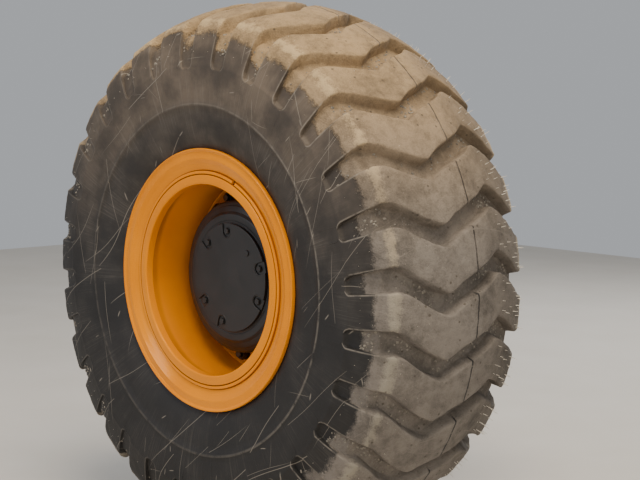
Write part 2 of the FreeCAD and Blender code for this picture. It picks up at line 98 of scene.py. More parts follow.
# Points of a section whose corners (radius, reach, rounding) are rounded with true arcs
def roundedSection(corners, side=1, arcStep=15):
    flat = [(Vector((c[0], side * c[1])), c[2] if len(c) > 2 else 0) for c in corners]
    points = []
    for index, (point, rounding) in enumerate(flat):
        if rounding <= 0:
            points.append(point)
            continue
        back = (flat[index - 1][0] - point).normalized()
        ahead = (flat[(index + 1) % len(flat)][0] - point).normalized()
        half = back.angle(ahead) / 2
        run = rounding / math.tan(half)
        middle = point + (back + ahead).normalized() * (rounding / math.sin(half))
        start, end = point + back * run - middle, point + ahead * run - middle
        bend = math.pi - 2 * half
        steps = max(3, math.ceil(math.degrees(bend) / arcStep))
        for step in range(steps + 1):
            share = step / steps
            arm = start * math.sin((1 - share) * bend) + end * math.sin(share * bend)
            points.append(middle + arm / math.sin(bend))
    return points


# Ring or disc turned about the axle, sections that start and end on it are closed there
def turnedPiece(name, corners, side=1, steps=192, sharpAngle=38):
    section = roundedSection(corners, side)
    points, rings = [], []
    for point in section:
        if point.x < 0.001:
            rings.append([len(points)] * steps)
            points.append(axleCentre + Vector((0, point.y, 0)) * mm)
            continue
        rings.append([len(points) + k for k in range(steps)])
        for k in range(steps):
            turn = 2 * math.pi * k / steps
            points.append(axleCentre + Vector((point.x * math.cos(turn), point.y, point.x * math.sin(turn))) * mm)
    onAxle = section[0].x < 0.001 and section[-1].x < 0.001
    faces = []
    for index in range(len(rings) - (1 if onAxle else 0)):
        one, two = rings[index], rings[(index + 1) % len(rings)]
        for k in range(steps):
            corner = list(dict.fromkeys([one[k], one[(k + 1) % steps], two[(k + 1) % steps], two[k]]))
            if len(corner) > 2:
                faces.append(corner)
    return pieceFrom(name, points, faces, sharpAngle)


# Merged copy of a CAD node, shaded smooth up to an angle
def copyOfNode(name, node, sharpAngle=32):
    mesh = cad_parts[node].data.copy()
    mesh.name = name
    piece = bpy.data.objects.new(name, mesh)
    bpy.context.scene.collection.objects.link(piece)
    if mesh.has_custom_normals:
        mesh.attributes.remove(mesh.attributes["custom_normal"])
    tidyMesh(mesh, sharpAngle, 0.00003)
    return piece


# Smooth line through points, with the number of runs between each pair
def smoothThrough(points, runs):
    padded = [np.array(p, float) for p in points]
    padded = [2 * padded[0] - padded[1]] + padded + [2 * padded[-1] - padded[-2]]
    line = []
    for index, count in enumerate(runs):
        a, b, c, d = padded[index:index + 4]
        for step in range(count):
            t = step / count
            square, cube = (2 * a - 5 * b + 4 * c - d) * t ** 2, (3 * b - a - 3 * c + d) * t ** 3
            line.append(0.5 * (2 * b + (c - a) * t + square + cube))
    return line + [padded[-2]]


# Value at a place, from a table of places and values
def valueAt(table, place):
    return float(np.interp(place, *zip(*table)))


def finishPiece(piece, body, material=None, nodes=()):
    if material is not None:
        piece.data.materials.clear()
        piece.data.materials.append(material)
    if nodes:
        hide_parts(*nodes)
    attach(piece, body)
    return piece


# Empty geometry tree: the tree, its inputs' identifiers, their values inside it and addNode for it
def newTree(name, inputs, output):
    tree = bpy.data.node_groups.new(name, "GeometryNodeTree")
    sockets = {}
    for title, kind in inputs.items():
        socket = tree.interface.new_socket(name=title, in_out="INPUT", socket_type="NodeSocket" + kind)
        sockets[title] = socket.identifier
    tree.interface.new_socket(name=output, in_out="OUTPUT", socket_type="NodeSocketGeometry")
    add = partial(addNode, tree)
    return tree, sockets, add("NodeGroupInput").outputs, add


# Paints what a tree has made and hands it out
def handOut(add, made, finish):
    add("NodeGroupOutput", {0: add("GeometryNodeSetMaterial", {"Geometry": made, "Material": finish})})


# Copies of the piece drawn at angle 0, set round the axle
def ringTree():
    tree, sockets, given, add = newTree("copiesRoundAxle", {
        "Piece": "Geometry", "Count": "Int", "First Angle": "Float", "Axle Centre": "Vector", "Merge Distance": "Float",
        "Finish": "Material"}, "Ring")
    points = add("GeometryNodePoints", {"Count": given["Count"], "Position": given["Axle Centre"]})
    step = add("ShaderNodeMath", {0: 360.0, 1: given["Count"]}, operation="DIVIDE")
    turned = add("ShaderNodeMath", {0: add("GeometryNodeInputIndex"), 1: step, 2: given["First Angle"]},
                 **timesPlus)
    radians = add("ShaderNodeMath", {0: turned, 1: -math.pi / 180}, **times)
    rotation = add("FunctionNodeEulerToRotation", {0: add("ShaderNodeCombineXYZ", {"Y": radians})})
    copies = add("GeometryNodeInstanceOnPoints", {"Points": points, "Instance": given["Piece"], "Rotation": rotation})
    real = add("GeometryNodeRealizeInstances", {0: copies})
    merged = add("GeometryNodeMergeByDistance", {"Geometry": real, "Distance": given["Merge Distance"]})
    handOut(add, merged, given["Finish"])
    return tree, sockets


# Small piece stood on each given point along the point's own direction, some left out and all leaning by chance
def scatterTree():
    tree, sockets, given, add = newTree("hairsOnTread", {
        "Roots": "Geometry", "Length": "Float", "Radius": "Float", "Lean": "Float", "Left Out": "Float", "Seed": "Int",
        "Finish": "Material"}, "Hairs")
    hair = add("GeometryNodeMeshCone", {"Vertices": 5, "Radius Top": 0.0005, "Radius Bottom": given["Radius"],
                                        "Depth": given["Length"]})
    way = add("GeometryNodeInputNamedAttribute", {"Name": "way"}, data_type="FLOAT_VECTOR")
    low, high = [add("ShaderNodeVectorMath", {0: (sign, sign, sign), "Scale": given["Lean"]}, operation="SCALE")
                 for sign in (-1, 1)]
    chance = add("FunctionNodeRandomValue", {0: low, 1: high, "Seed": given["Seed"]}, data_type="FLOAT_VECTOR")
    leaning = add("ShaderNodeVectorMath", {0: way, 1: chance}, **plus)
    rotation = add("FunctionNodeAlignRotationToVector", {"Vector": leaning}, axis="Z")
    kept = add("FunctionNodeRandomValue", {2: 0.0, 3: 1.0, "Seed": given["Seed"]}, data_type="FLOAT")
    isKept = add("FunctionNodeCompare", {0: kept, 1: given["Left Out"]}, data_type="FLOAT", operation="GREATER_THAN")
    size = add("GeometryNodeInputNamedAttribute", {"Name": "size"}, data_type="FLOAT")
    copies = add("GeometryNodeInstanceOnPoints", {"Points": given["Roots"], "Selection": isKept, "Instance": hair,
                                                  "Rotation": rotation, "Scale": size})
    handOut(add, add("GeometryNodeRealizeInstances", {0: copies}), given["Finish"])
    return tree, sockets


# Clods of dried mud lying on the faces whose "mudFloor" attribute is high
def clodTree():
    tree, sockets, given, add = newTree("clodsInGrooves", {
        "Ground": "Geometry", "Clods Per Square Metre": "Float", "Smallest": "Float", "Largest": "Float", "Seed": "Int",
        "Finish": "Material"}, "Clods")
    floorShare = add("GeometryNodeInputNamedAttribute", {"Name": "mudFloor"}, data_type="FLOAT")
    # patches about 80 mm across
    patch = add("ShaderNodeTexNoise", {"Vector": add("GeometryNodeInputPosition"), "Scale": 13.0, "Detail": 2.0})
    patchy = add("ShaderNodeMapRange", {0: patch, 1: 0.42, 2: 0.66})
    thick = add("ShaderNodeMath", {0: floorShare, 1: patchy}, **times)
    perArea = add("ShaderNodeMath", {0: thick, 1: given["Clods Per Square Metre"]}, **times)
    points = add("GeometryNodeDistributePointsOnFaces", {"Mesh": given["Ground"], "Density": perArea,
                                                         "Seed": given["Seed"]})
    clod = add("GeometryNodeMeshIcoSphere", {"Radius": 1.0, "Subdivisions": 1})
    size = add("FunctionNodeRandomValue", {2: given["Smallest"], 3: given["Largest"], "Seed": given["Seed"]},
               data_type="FLOAT")
    squash, turn = [add("FunctionNodeRandomValue", {0: least, 1: most, "Seed": given["Seed"]}, data_type="FLOAT_VECTOR")
                    for least, most in (((0.6, 0.6, 0.35), (1.3, 1.1, 0.7)), ((0, 0, 0), (0.5, 0.5, 6.2)))]
    scale = add("ShaderNodeVectorMath", {0: squash, "Scale": size}, operation="SCALE")
    rotation = add("FunctionNodeRotateRotation", {
        0: points.outputs["Rotation"], 1: add("FunctionNodeEulerToRotation", {0: turn})}, rotation_space="LOCAL")
    copies = add("GeometryNodeInstanceOnPoints", {"Points": points, "Instance": clod, "Rotation": rotation,
                                                  "Scale": scale})
    handOut(add, add("GeometryNodeRealizeInstances", {0: copies}), given["Finish"])
    return tree, sockets


# Runs a tree on the piece with its inputs set, and keeps the result as a plain mesh
def grown(piece, treeAndSockets, values, sharpAngle=None):
    tree, sockets = treeAndSockets
    modifier = piece.modifiers.new(tree.name, "NODES")
    modifier.node_group = tree
    for name, value in values.items():
        modifier[sockets[name]] = value
    depsgraph = bpy.context.evaluated_depsgraph_get()
    mesh = bpy.data.meshes.new_from_object(
        piece.evaluated_get(depsgraph), preserve_all_data_layers=True, depsgraph=depsgraph)
    piece.modifiers.remove(modifier)
    piece.data = mesh
    if sharpAngle is not None:
        tidyMesh(mesh, sharpAngle)
    return piece


copiesRoundAxle = ringTree()
hairsOnTread = scatterTree()
clodsInGrooves = clodTree()
print("trees built")


# The piece copied round the axle, painted and with its touching points merged
def ringOf(piece, count, firstAngle, finish, mergeDistance=0.00001, sharpAngle=28):
    return grown(piece, copiesRoundAxle, {"Count": count, "First Angle": firstAngle, "Axle Centre": axleCentre,
                                          "Merge Distance": mergeDistance, "Finish": finish}, sharpAngle)



# Empty material, and a function that adds shader nodes to its tree
def newFinish(name):
    material = bpy.data.materials.new(name)
    material.use_nodes = True
    tree = material.node_tree
    tree.nodes.clear()
    return material, lambda kind, inputs=None, **settings: addNode(tree, "ShaderNode" + kind, inputs, **settings)


# Gives a material its surface and hands it back
def surfaced(material, add, values):
    add("OutputMaterial", {"Surface": add("BsdfPrincipled", values)})
    return material


# Colour that turns from the first to the second as a pattern rises from low to high
def blended(add, pattern, low, high, first, second, most=1.0):
    share = add("MapRange", {0: pattern, 1: low, 2: high, 4: most}, **smooth)
    return add("Mix", {0: share, 6: first, 7: second}, **colours)


# Place about the axle: centred coordinates, radius, reach, height and the unit direction out from the axle
def placeOnAxle(add):
    coords = add("TexCoord").outputs["Object"]
    centred = add("VectorMath", {0: coords, 1: tuple(-axleCentre)}, **plus)
    across = add("VectorMath", {0: centred, 1: (1, 0, 1)}, **times)
    parts = add("SeparateXYZ", {0: centred}).outputs
    return {
        "centred": centred, "radius": add("VectorMath", {0: across}, operation="LENGTH").outputs["Value"],
        "outward": add("VectorMath", {0: across}, operation="NORMALIZE"), "across": parts["X"], "reach": parts["Y"],
        "height": parts["Z"]}


# Thin scratches: one line in each cell of a Voronoi pattern, turned, stretched and kept by the cell's own chance
def scratchLines(add, place, layers):
    flat = add("CombineXYZ", {"X": place["across"], "Y": place["height"]})
    sway = add("TexNoise", {"Vector": flat, "Scale": 3.0, "Detail": 0.0}, noise_dimensions="2D").outputs["Color"]
    swayed = add("VectorMath", {0: sway, 1: (0.09, 0.09, 0.0), 2: flat}, **timesPlus)
    scratched = None
    for perMetre, shift, turn, spread, halfWidth, halfLength, leftOut in layers:
        shifted = add("VectorMath", {0: swayed, 1: (shift, 2 * shift, 0)}, **plus)
        cell = add("TexVoronoi", {"Vector": shifted, "Scale": perMetre}, voronoi_dimensions="2D").outputs
        chance = add("SeparateColor", {0: cell["Color"]}).outputs
        offset = add("VectorMath", {0: shifted, 1: cell["Position"]}, operation="SUBTRACT")
        angle = add("MapRange", {0: chance[0], 3: -math.radians(turn - spread), 4: -math.radians(turn + spread)})
        local = add(
            "SeparateXYZ", {0: add("VectorRotate", {"Vector": offset, "Angle": angle}, rotation_type="Z_AXIS")}).outputs
        width = add("MapRange", {0: chance[1], 3: 0.35 * halfWidth, 4: halfWidth})
        fromLine = add("Math", {0: add("Math", {0: local["Y"]}, **absolute), 1: width}, operation="DIVIDE")
        fromMiddle = add("Math", {0: local["X"]}, **absolute)
        isLine = add("MapRange", {0: fromLine, 1: 0.5, 2: 1.0, 3: 1.0, 4: 0.0}, **smooth)
        fades = add("MapRange", {0: fromMiddle, 1: 0.3 * halfLength, 2: halfLength, 3: 1.0, 4: 0.0}, **smooth)
        isKept = add("Math", {0: chance[2], 1: leftOut}, operation="GREATER_THAN")
        line = add("Math", {0: add("Math", {0: isLine, 1: fades}, **times), 1: isKept}, **times)
        scratched = line if scratched is None else add("Math", {0: scratched, 1: line}, operation="MAXIMUM")
    return scratched


# Natural rubber, moulded: nearly black and matt, scuffed grey, with dried tan mud on what meets the ground, and painted
# light and shade laid over the mud
def mouldedRubber():
    look = {
        "rubber": "#1b1a1a", "scuffed": "#302e2c", "dust": "#82725f", "streak": "#7b756c", "mud": "#a58c68",
        "damp": "#826d50", "shadedMud": "#7d766e", "shadedDamp": "#625c55", "caked": "#bca37b", "shadedCaked": "#928b7d",
        "paintedShadeBrown": "#4a4238", "paleScratchAndHighlight": "#8d867b",
        # radius or reach in metres where each begins and ends, and its shares there
        "beadEdge": {1: 0.49, 2: 0.53, 3: 0.45, 4: 1.0}, "lugEdge": {1: 0.715, 2: 0.742, 3: 1.0, 4: 0.1},
        "shadedInnerHalf": {1: -0.02, 2: 0.16, 4: 0.35},
    }
    # layers of scratches: cells per metre, shift, turn, spread, half width, half length and share left out
    scratches = [
        (3.2, 0.3, 40, 12, 0.0016, 0.3, 0.3),
        (5.5, 1.7, 44, 16, 0.0015, 0.16, 0.42),
        (5.0, 3.1, 92, 24, 0.0014, 0.16, 0.5),
        (11.0, 4.9, 48, 80, 0.0012, 0.05, 0.78),
        (13.0, 7.3, 60, 50, 0.0026, 0.014, 0.8),
    ]
    material, add = newFinish("mouldedTyreRubber")
    place = placeOnAxle(add)
    dust = add("Attribute", attribute_name="dust").outputs["Fac"]
    edge = add("Attribute", attribute_name="edge").outputs["Fac"]
    # patches about 120 mm across, crust 24 mm, grains 4 mm and moulded skin 1.5 mm: scale, detail, roughness
    cloud, crust, grain, fine = [
        add("TexNoise", {"Vector": place["centred"], "Scale": scale, "Detail": detail, "Roughness": rough})
        for scale, detail, rough in ((8.0, 6.0, 0.6), (42.0, 5.0, 0.65), (230.0, 4.0, 0.65), (700.0, 2.0, 0.5))]
    # painted shadows of the vent hairs' stubs, about 40 mm apart
    stubShadowCells = add("TexVoronoi", {"Vector": place["centred"], "Scale": 26.0})
    brushed = add("VectorMath", {0: place["outward"], 1: (150, 150, 150)}, **times)
    outAlong = add("CombineXYZ", {"Y": add("Math", {0: place["radius"], 1: 5.0}, **times)})
    streakPlace = add("VectorMath", {0: brushed, 1: outAlong}, **plus)
    # dusty streaks along the radius, 4 mm wide
    streaks = add("TexNoise", {"Vector": streakPlace, "Scale": 1.0, "Detail": 4.0, "Roughness": 0.75})
    high = add("MapRange", {0: place["height"], 1: -0.1, 2: 0.7}, **smooth)
    # the bead's side stays cleaner
    outer = add("MapRange", {0: place["radius"], **look["beadEdge"]}, **smooth)
    scuffed = add("Math", {0: add("MapRange", {0: cloud, 1: 0.35, 2: 0.7, 4: 0.9}, **smooth), 1: add(
        "MapRange", {0: place["height"], 1: -0.45, 2: 0.25, 3: 0.35, 4: 1.0}, **smooth)}, **times)
    base = add("Mix", {0: scuffed, 6: srgb(look["rubber"]), 7: srgb(look["scuffed"])}, **colours)
    dusty = add("Math", {0: high, 1: add("MapRange", {0: cloud, 1: 0.3, 2: 0.7, 3: 0.2, 4: 0.56}, **smooth)}, **times)
    base = add("Mix", {0: add("Math", {0: dusty, 1: outer}, **times), 6: base, 7: srgb(look["dust"])}, **colours)
    inPatch = add("Math", {0: add("MapRange", {0: cloud, 1: 0.44, 2: 0.62, 3: 0.03, 4: 0.3}, **smooth), 1: add(
        "MapRange", {0: place["height"], 1: -0.3, 2: 0.4, 3: 0.45, 4: 1.0}, **smooth)}, **times)
    streaked = add("Math", {0: add("MapRange", {0: streaks, 1: 0.48, 2: 0.7}, **smooth), 1: inPatch}, **times)
    base = add("Mix", {0: streaked, 6: base, 7: srgb(look["streak"])}, **colours)
    scratched = scratchLines(add, place, scratches)
    base = add("Mix", {0: add("Math", {0: scratched, 1: 0.62}, **times), 6: base, 7: srgb(look["paleScratchAndHighlight"])}, **colours)
    uneven = add("Math", {0: add("Math", {0: cloud, 1: crust}, **plus), 1: 0.55, 2: -0.55}, **timesPlus)
    speckled = add("Math", {0: grain, 1: 0.3, 2: -0.15}, **timesPlus)
    caked = add("Math", {0: add("Math", {0: dust, 1: uneven}, **plus), 1: speckled}, **plus)
    # the slots on the lug sides of the left half carry less mud, so they stay darker
    onLeft = add("MapRange", {0: place["across"], 1: -0.4, 2: 0.25, 3: -0.55, 4: 0.0}, **smooth)
    onSide = add("MapRange", {0: place["radius"], **look["lugEdge"]}, **smooth)
    cakedHere = add("Math", {0: onLeft, 1: onSide, 2: caked}, **timesPlus)
    mudShare = add("MapRange", {0: cakedHere, 1: 0.36, 2: 0.62}, **smooth)
    blotches = add("Math", {0: crust, 1: 0.4, 2: add("Math", {0: grain, 1: 0.25}, **times)}, **timesPlus)
    blotches = add("Math", {0: cloud, 1: 0.35, 2: blotches}, **timesPlus)
    spots = add("MapRange", {0: blotches, 1: 0.36, 2: 0.6}, **smooth)
    # painted light: the mud is drawn in a lit copy towards the top and a darker, greyer shaded copy below
    litMud = add("Mix", {0: spots, 6: srgb(look["damp"]), 7: srgb(look["mud"])}, **colours)
    shadedMud = add("Mix", {0: spots, 6: srgb(look["shadedDamp"]), 7: srgb(look["shadedMud"])}, **colours)
    # painted light: the caked crust's lit copy towards the top and its shaded copy below
    thick = add("Mix", {0: high, 6: srgb(look["shadedCaked"]), 7: srgb(look["caked"])}, **colours)
    litTopShare = add("MapRange", {0: place["height"], 1: 0.1, 2: 0.72}, **smooth)
    mud = add("Mix", {0: litTopShare, 6: shadedMud, 7: litMud}, **colours)
    # painted shade: the mud on the half towards the machine is darkened
    inner = add("MapRange", {0: place["reach"], **look["shadedInnerHalf"]}, **smooth)
    mud = add("Mix", {0: inner, 6: mud, 7: srgb(look["paintedShadeBrown"])}, **colours)
    mud = blended(add, caked, 0.92, 1.16, mud, thick, 0.95)
    # painted shadow: a dark dot at each hair stub
    inStubShadow = add("MapRange", {0: stubShadowCells.outputs["Distance"], 1: 0.06, 2: 0.12, 3: 0.75, 4: 0.0}, **smooth)
    mud = add("Mix", {0: inStubShadow, 6: mud, 7: srgb(look["paintedShadeBrown"])}, **colours)
    covered = add(
        "Math", {0: mudShare, 1: add("MapRange", {0: cloud, 1: 0.3, 2: 0.55, 3: 0.72, 4: 0.95}, **smooth)}, **times)
    colour = add("Mix", {0: covered, 6: base, 7: mud}, **colours)
    # pale dust on the scuffed edges, drawn only on the right side as a painted highlight
    highlightSide = add("MapRange", {0: place["across"], 1: 0.0, 2: 0.45, 3: 0.35, 4: 0.8}, **smooth)
    edgeDustAndHighlight = add("Math", {0: add(
        "Math", {0: edge, 1: highlightSide}, **times), 1: add("MapRange", {0: crust, 1: 0.3, 2: 0.55}, **smooth)}, **times)
    colour = add("Mix", {0: edgeDustAndHighlight, 6: colour, 7: srgb(look["paleScratchAndHighlight"])}, **colours)
    rough = add("MapRange", {0: mudShare, 3: 0.62, 4: 0.95})
    depth = add("MapRange", {0: mudShare, 3: 0.1, 4: 1.0})
    lumps = add("Math", {0: add("Math", {0: crust, 1: 2.2, 2: grain}, **timesPlus), 1: depth}, **times)
    relief = add("Math", {0: fine, 1: 0.12, 2: lumps}, **timesPlus)
    bump = add("Bump", {"Height": relief, "Distance": 0.0022})
    return surfaced(material, add, {
        "Base Color": colour, "Roughness": rough, "Normal": bump, "IOR": 1.52, "Specular IOR Level": 0.35})


# Clay dried on rubber: matt pale tan with darker damp spots
def driedMud():
    look = {"dry": "#918a7e", "damp": "#69645c"}
    material, add = newFinish("driedClayMud")
    coords = add("TexCoord").outputs["Object"]
    # lumps about 8 mm across, with a crumbling skin about 2.5 mm
    grain = add("TexNoise", {"Vector": coords, "Scale": 120.0, "Detail": 4.0, "Roughness": 0.7})
    skin = add("TexNoise", {"Vector": coords, "Scale": 420.0, "Detail": 3.0})
    return surfaced(material, add, {
        "Base Color": blended(add, grain, 0.35, 0.65, srgb(look["damp"]), srgb(look["dry"])), "Roughness": 0.95,
        "Normal": add("Bump", {"Height": skin, "Distance": 0.0012}), "IOR": 1.5})


# Alkyd enamel over welded steel, sprayed: strong orange-yellow gloss with a soft orange peel, dust specks, painted
# shade in the barrel and dirt with painted shade in the lock ring's joints
def rimEnamel():
    look = {
        "paint": "#e88d00", "deep": "#da8000", "dust": "#b07a30", "recessShade": "#6a3f06", "seam": "#8a4400",
        "gloss": "#ffb94a", "ringMiddle": 0.3117, "ringHalf": 0.0057,
        # radius or reach in metres where each begins and ends, and its shares there
        "barrel": {1: 0.2895, 2: 0.2915, 3: 1.0, 4: 0.0}, "gutterBack": {1: -0.236, 2: -0.229},
        "gutterFade": {1: -0.222, 2: -0.205, 3: 1.0, 4: 0.0}, "discFace": {1: -0.07, 2: -0.052, 4: 0.3},
        "lockRing": {1: -0.25, 2: -0.24, 3: 1.0, 4: 0.0},
    }
    material, add = newFinish("rimEnamel")
    place = placeOnAxle(add)
    # fading about 160 mm across, dust specks 4 mm and orange peel 2.5 mm: scale, detail, roughness
    cloud, speck, peel = [
        add("TexNoise", {"Vector": place["centred"], "Scale": scale, "Detail": detail, "Roughness": rough})
        for scale, detail, rough in ((6.0, 4.0, 0.5), (260.0, 3.0, 0.7), (420.0, 1.0, 0.5))]
    colour = blended(add, cloud, 0.3, 0.7, srgb(look["paint"]), srgb(look["deep"]), 0.7)
    inPatch = add("MapRange", {0: cloud, 1: 0.4, 2: 0.65, 3: 0.05, 4: 0.4}, **smooth)
    dusty = add("Math", {0: add("MapRange", {0: speck, 1: 0.56, 2: 0.74}, **smooth), 1: inPatch}, **times)
    colour = add("Mix", {0: add("Math", {0: dusty, 1: 0.4}, **times), 6: colour, 7: srgb(look["dust"])}, **colours)
    # painted shade in the barrel, behind the gutter and at the wheel disc
    inBarrel = add("MapRange", {0: place["radius"], **look["barrel"]})
    shadeBehindGutter = add("Math", {0: add("MapRange", {0: place["reach"], **look["gutterBack"]}, **smooth), 1: add(
        "MapRange", {0: place["reach"], **look["gutterFade"]}, **smooth)}, **times)
    shadeAtDisc = add("MapRange", {0: place["reach"], **look["discFace"]}, **smooth)
    recessShadeShare = add("Math", {0: inBarrel, 1: add("Math", {0: shadeBehindGutter, 1: shadeAtDisc}, operation="MAXIMUM")}, **times)
    patchy = add("MapRange", {0: cloud, 1: 0.3, 2: 0.7, 3: 0.35, 4: 0.65}, **smooth)
    colour = add("Mix", {0: add("Math", {0: recessShadeShare, 1: patchy}, **times), 6: colour, 7: srgb(look["recessShade"])}, **colours)
    # dirt and painted shade in the joints on each side of the lock ring
    fromRing = add("Math", {0: add("Math", {0: place["radius"], 1: -look["ringMiddle"]}, **plus)}, **absolute)
    fromSeam = add("Math", {0: add("Math", {0: fromRing, 1: -look["ringHalf"]}, **plus)}, **absolute)
    inSeam = add("Math", {0: add("MapRange", {0: fromSeam, 1: 0.0009, 2: 0.0026, 3: 0.8, 4: 0.0}, **smooth),
                                    1: add("MapRange", {0: place["reach"], **look["lockRing"]})}, **times)
    colour = add("Mix", {0: inSeam, 6: colour, 7: srgb(look["seam"])}, **colours)
    rough = add("MapRange", {0: dusty, 3: 0.22, 4: 0.6})
    bump = add("Bump", {"Height": peel, "Distance": 0.00025, "Strength": 0.5})
    return surfaced(material, add, {
        "Base Color": colour, "Roughness": rough, "Normal": bump, "IOR": 1.45, "Specular IOR Level": 0.5,
        "Specular Tint": srgb(look["gloss"]), "Coat Weight": 0.12, "Coat Roughness": 0.1})


# Two-pack chassis paint over iron castings: satin dark grey, sand-cast skin showing through, a little dust
def castPaint(name, look, castScale, castDepth):
    material, add = newFinish(name)
    place = placeOnAxle(add)
    # patches about 90 mm across, and sand grain about 3 mm, drawn coarser than real to show
    cloud = add("TexNoise", {"Vector": place["centred"], "Scale": 11.0, "Detail": 5.0, "Roughness": 0.6})
    cast = add("TexNoise", {"Vector": place["centred"], "Scale": castScale, "Detail": 4.0, "Roughness": 0.6})
    colour = blended(add, cloud, 0.35, 0.7, srgb(look["paint"]), srgb(look["faded"]))
    inPatch = add("MapRange", {0: cloud, 1: 0.45, 2: 0.7, 3: 0.1, 4: 0.55}, **smooth)
    dusty = add("Math", {0: add("MapRange", {0: cast, 1: 0.58, 2: 0.75}, **smooth), 1: inPatch}, **times)
    return surfaced(material, add, {
        "Base Color": add("Mix", {0: dusty, 6: colour, 7: srgb(look["dust"])}, **colours),
        "Roughness": add("MapRange", {0: cloud, 1: 0.3, 2: 0.7, 3: 0.38, 4: 0.58}, **smooth),
        "Normal": add("Bump", {"Height": cast, "Distance": castDepth, "Strength": 0.6}), "IOR": 1.5})


# Steel or iron turned in a lathe: fine concentric tool marks, with a stain or rust film
def turnedMetal(name, look):
    material, add = newFinish(name)
    place = placeOnAxle(add)
    marks = add("CombineXYZ", {"X": place["radius"], "Y": place["reach"]})
    # tool marks about 1 mm apart, stains about 60 mm across, broken up into spots
    tool = add("TexNoise", {"Vector": marks, "Scale": look["marksPerMetre"], "Detail": 2.0})
    cloud = add("TexNoise", {"Vector": place["centred"], "Scale": 16.0, "Detail": 5.0, "Roughness": 0.65})
    spots = add("TexNoise", {"Vector": place["centred"], "Scale": 150.0, "Detail": 3.0, "Roughness": 0.6})
    colour = blended(add, tool, 0.3, 0.7, srgb(look["bright"]), srgb(look["dull"]))
    stained = add("Math", {0: add("MapRange", {0: cloud, 1: look["stainFrom"], 2: 0.72}, **smooth), 1: add(
        "MapRange", {0: spots, 1: 0.3, 2: 0.65, 3: 0.4, 4: 1.0}, **smooth)}, **times)
    return surfaced(material, add, {
        "Base Color": add("Mix", {0: stained, 6: colour, 7: srgb(look["stain"])}, **colours), "Metallic": 1.0,
        "Roughness": add("MapRange", {0: stained, 3: look["roughness"], 4: look["stainedRoughness"]}),
        "Normal": add("Bump", {"Height": tool, "Distance": 0.0002, "Strength": 0.4})})


# Moulded rubber, plastic or pressed friction lining: one dull colour with a fine grain
def dullMoulding(name, look):
    material, add = newFinish(name)
    coords = add("TexCoord").outputs["Object"]
    # grain about 2 mm, dust patches about 30 mm
    grain = add("TexNoise", {"Vector": coords, "Scale": 600.0, "Detail": 3.0})
    cloud = add("TexNoise", {"Vector": coords, "Scale": 30.0, "Detail": 3.0})
    colour = blended(add, grain, 0.45, 0.7, srgb(look["base"]), srgb(look["fleck"]))
    return surfaced(material, add, {
        "Base Color": blended(add, cloud, 0.45, 0.75, colour, srgb(look["dust"]), 0.5), "Roughness": look["roughness"],
        "Normal": add("Bump", {"Height": grain, "Distance": 0.0004, "Strength": 0.5}), "IOR": 1.5})


# Pale floor of the studio, slightly uneven in tone
def paleFloor(look):
    material, add = newFinish("paleFloor")
    tone = add("TexNoise", {"Vector": add("TexCoord").outputs["Object"], "Scale": 3.0, "Detail": 5.0})
    colour = add("Mix", {0: tone, 6: srgb(look["floorColour"]), 7: srgb(look["floorShade"])}, **colours)
    return surfaced(material, add, {"Base Color": colour, "Roughness": 0.85})


finishes = {
    "rubber": mouldedRubber(),
    "mud": driedMud(),
    "rim": rimEnamel(),
    "hub": castPaint("hubCastPaint", {"paint": "#191919", "faded": "#222222", "dust": "#453f38"}, 420.0, 0.0004),
    "arm": castPaint("axleCastPaint", {"paint": "#262628", "faded": "#363534", "dust": "#6a6155"}, 260.0, 0.0009),
}
# bright, dull and stained colour, least cloud that stains, roughness clean and stained, tool marks per metre
for key, name, bright, dull, stain, stainFrom, roughness, stainedRoughness, marksPerMetre in (
        ("nuts", "phosphatedSteel", "#5d5a57", "#494642", "#6b5138", 0.55, 0.42, 0.7, 900.0),
        ("disc", "groundBrakeIron", "#9b9894", "#7e7a75", "#7a4c2c", 0.5, 0.3, 0.75, 1300.0),
        ("steel", "turnedShaftSteel", "#c3c1bd", "#a19e99", "#6f6250", 0.56, 0.24, 0.5, 900.0),
        ("brass", "dullBrass", "#b39455", "#96793f", "#5c4a2a", 0.48, 0.35, 0.6, 900.0)):
    finishes[key] = turnedMetal(name, {
        "bright": bright, "dull": dull, "stain": stain, "stainFrom": stainFrom, "roughness": roughness,
        "stainedRoughness": stainedRoughness, "marksPerMetre": marksPerMetre})
for key, name, base, fleck, dust, roughness in (
        ("seal", "nitrileSealRubber", "#1d1c1c", "#2a2928", "#4a453e", 0.7),
        ("cap", "blackCapPlastic", "#191919", "#242424", "#4c453b", 0.5),
        ("hair", "ventHairRubber", "#d6cfc0", "#e8e2d6", "#b5ab9a", 0.75),
        ("lining", "pressedFrictionLining", "#3b3430", "#8a7358", "#4d453d", 0.85)):
    finishes[key] = dullMoulding(name, {"base": base, "fleck": fleck, "dust": dust, "roughness": roughness})
print("materials built:", len(finishes))

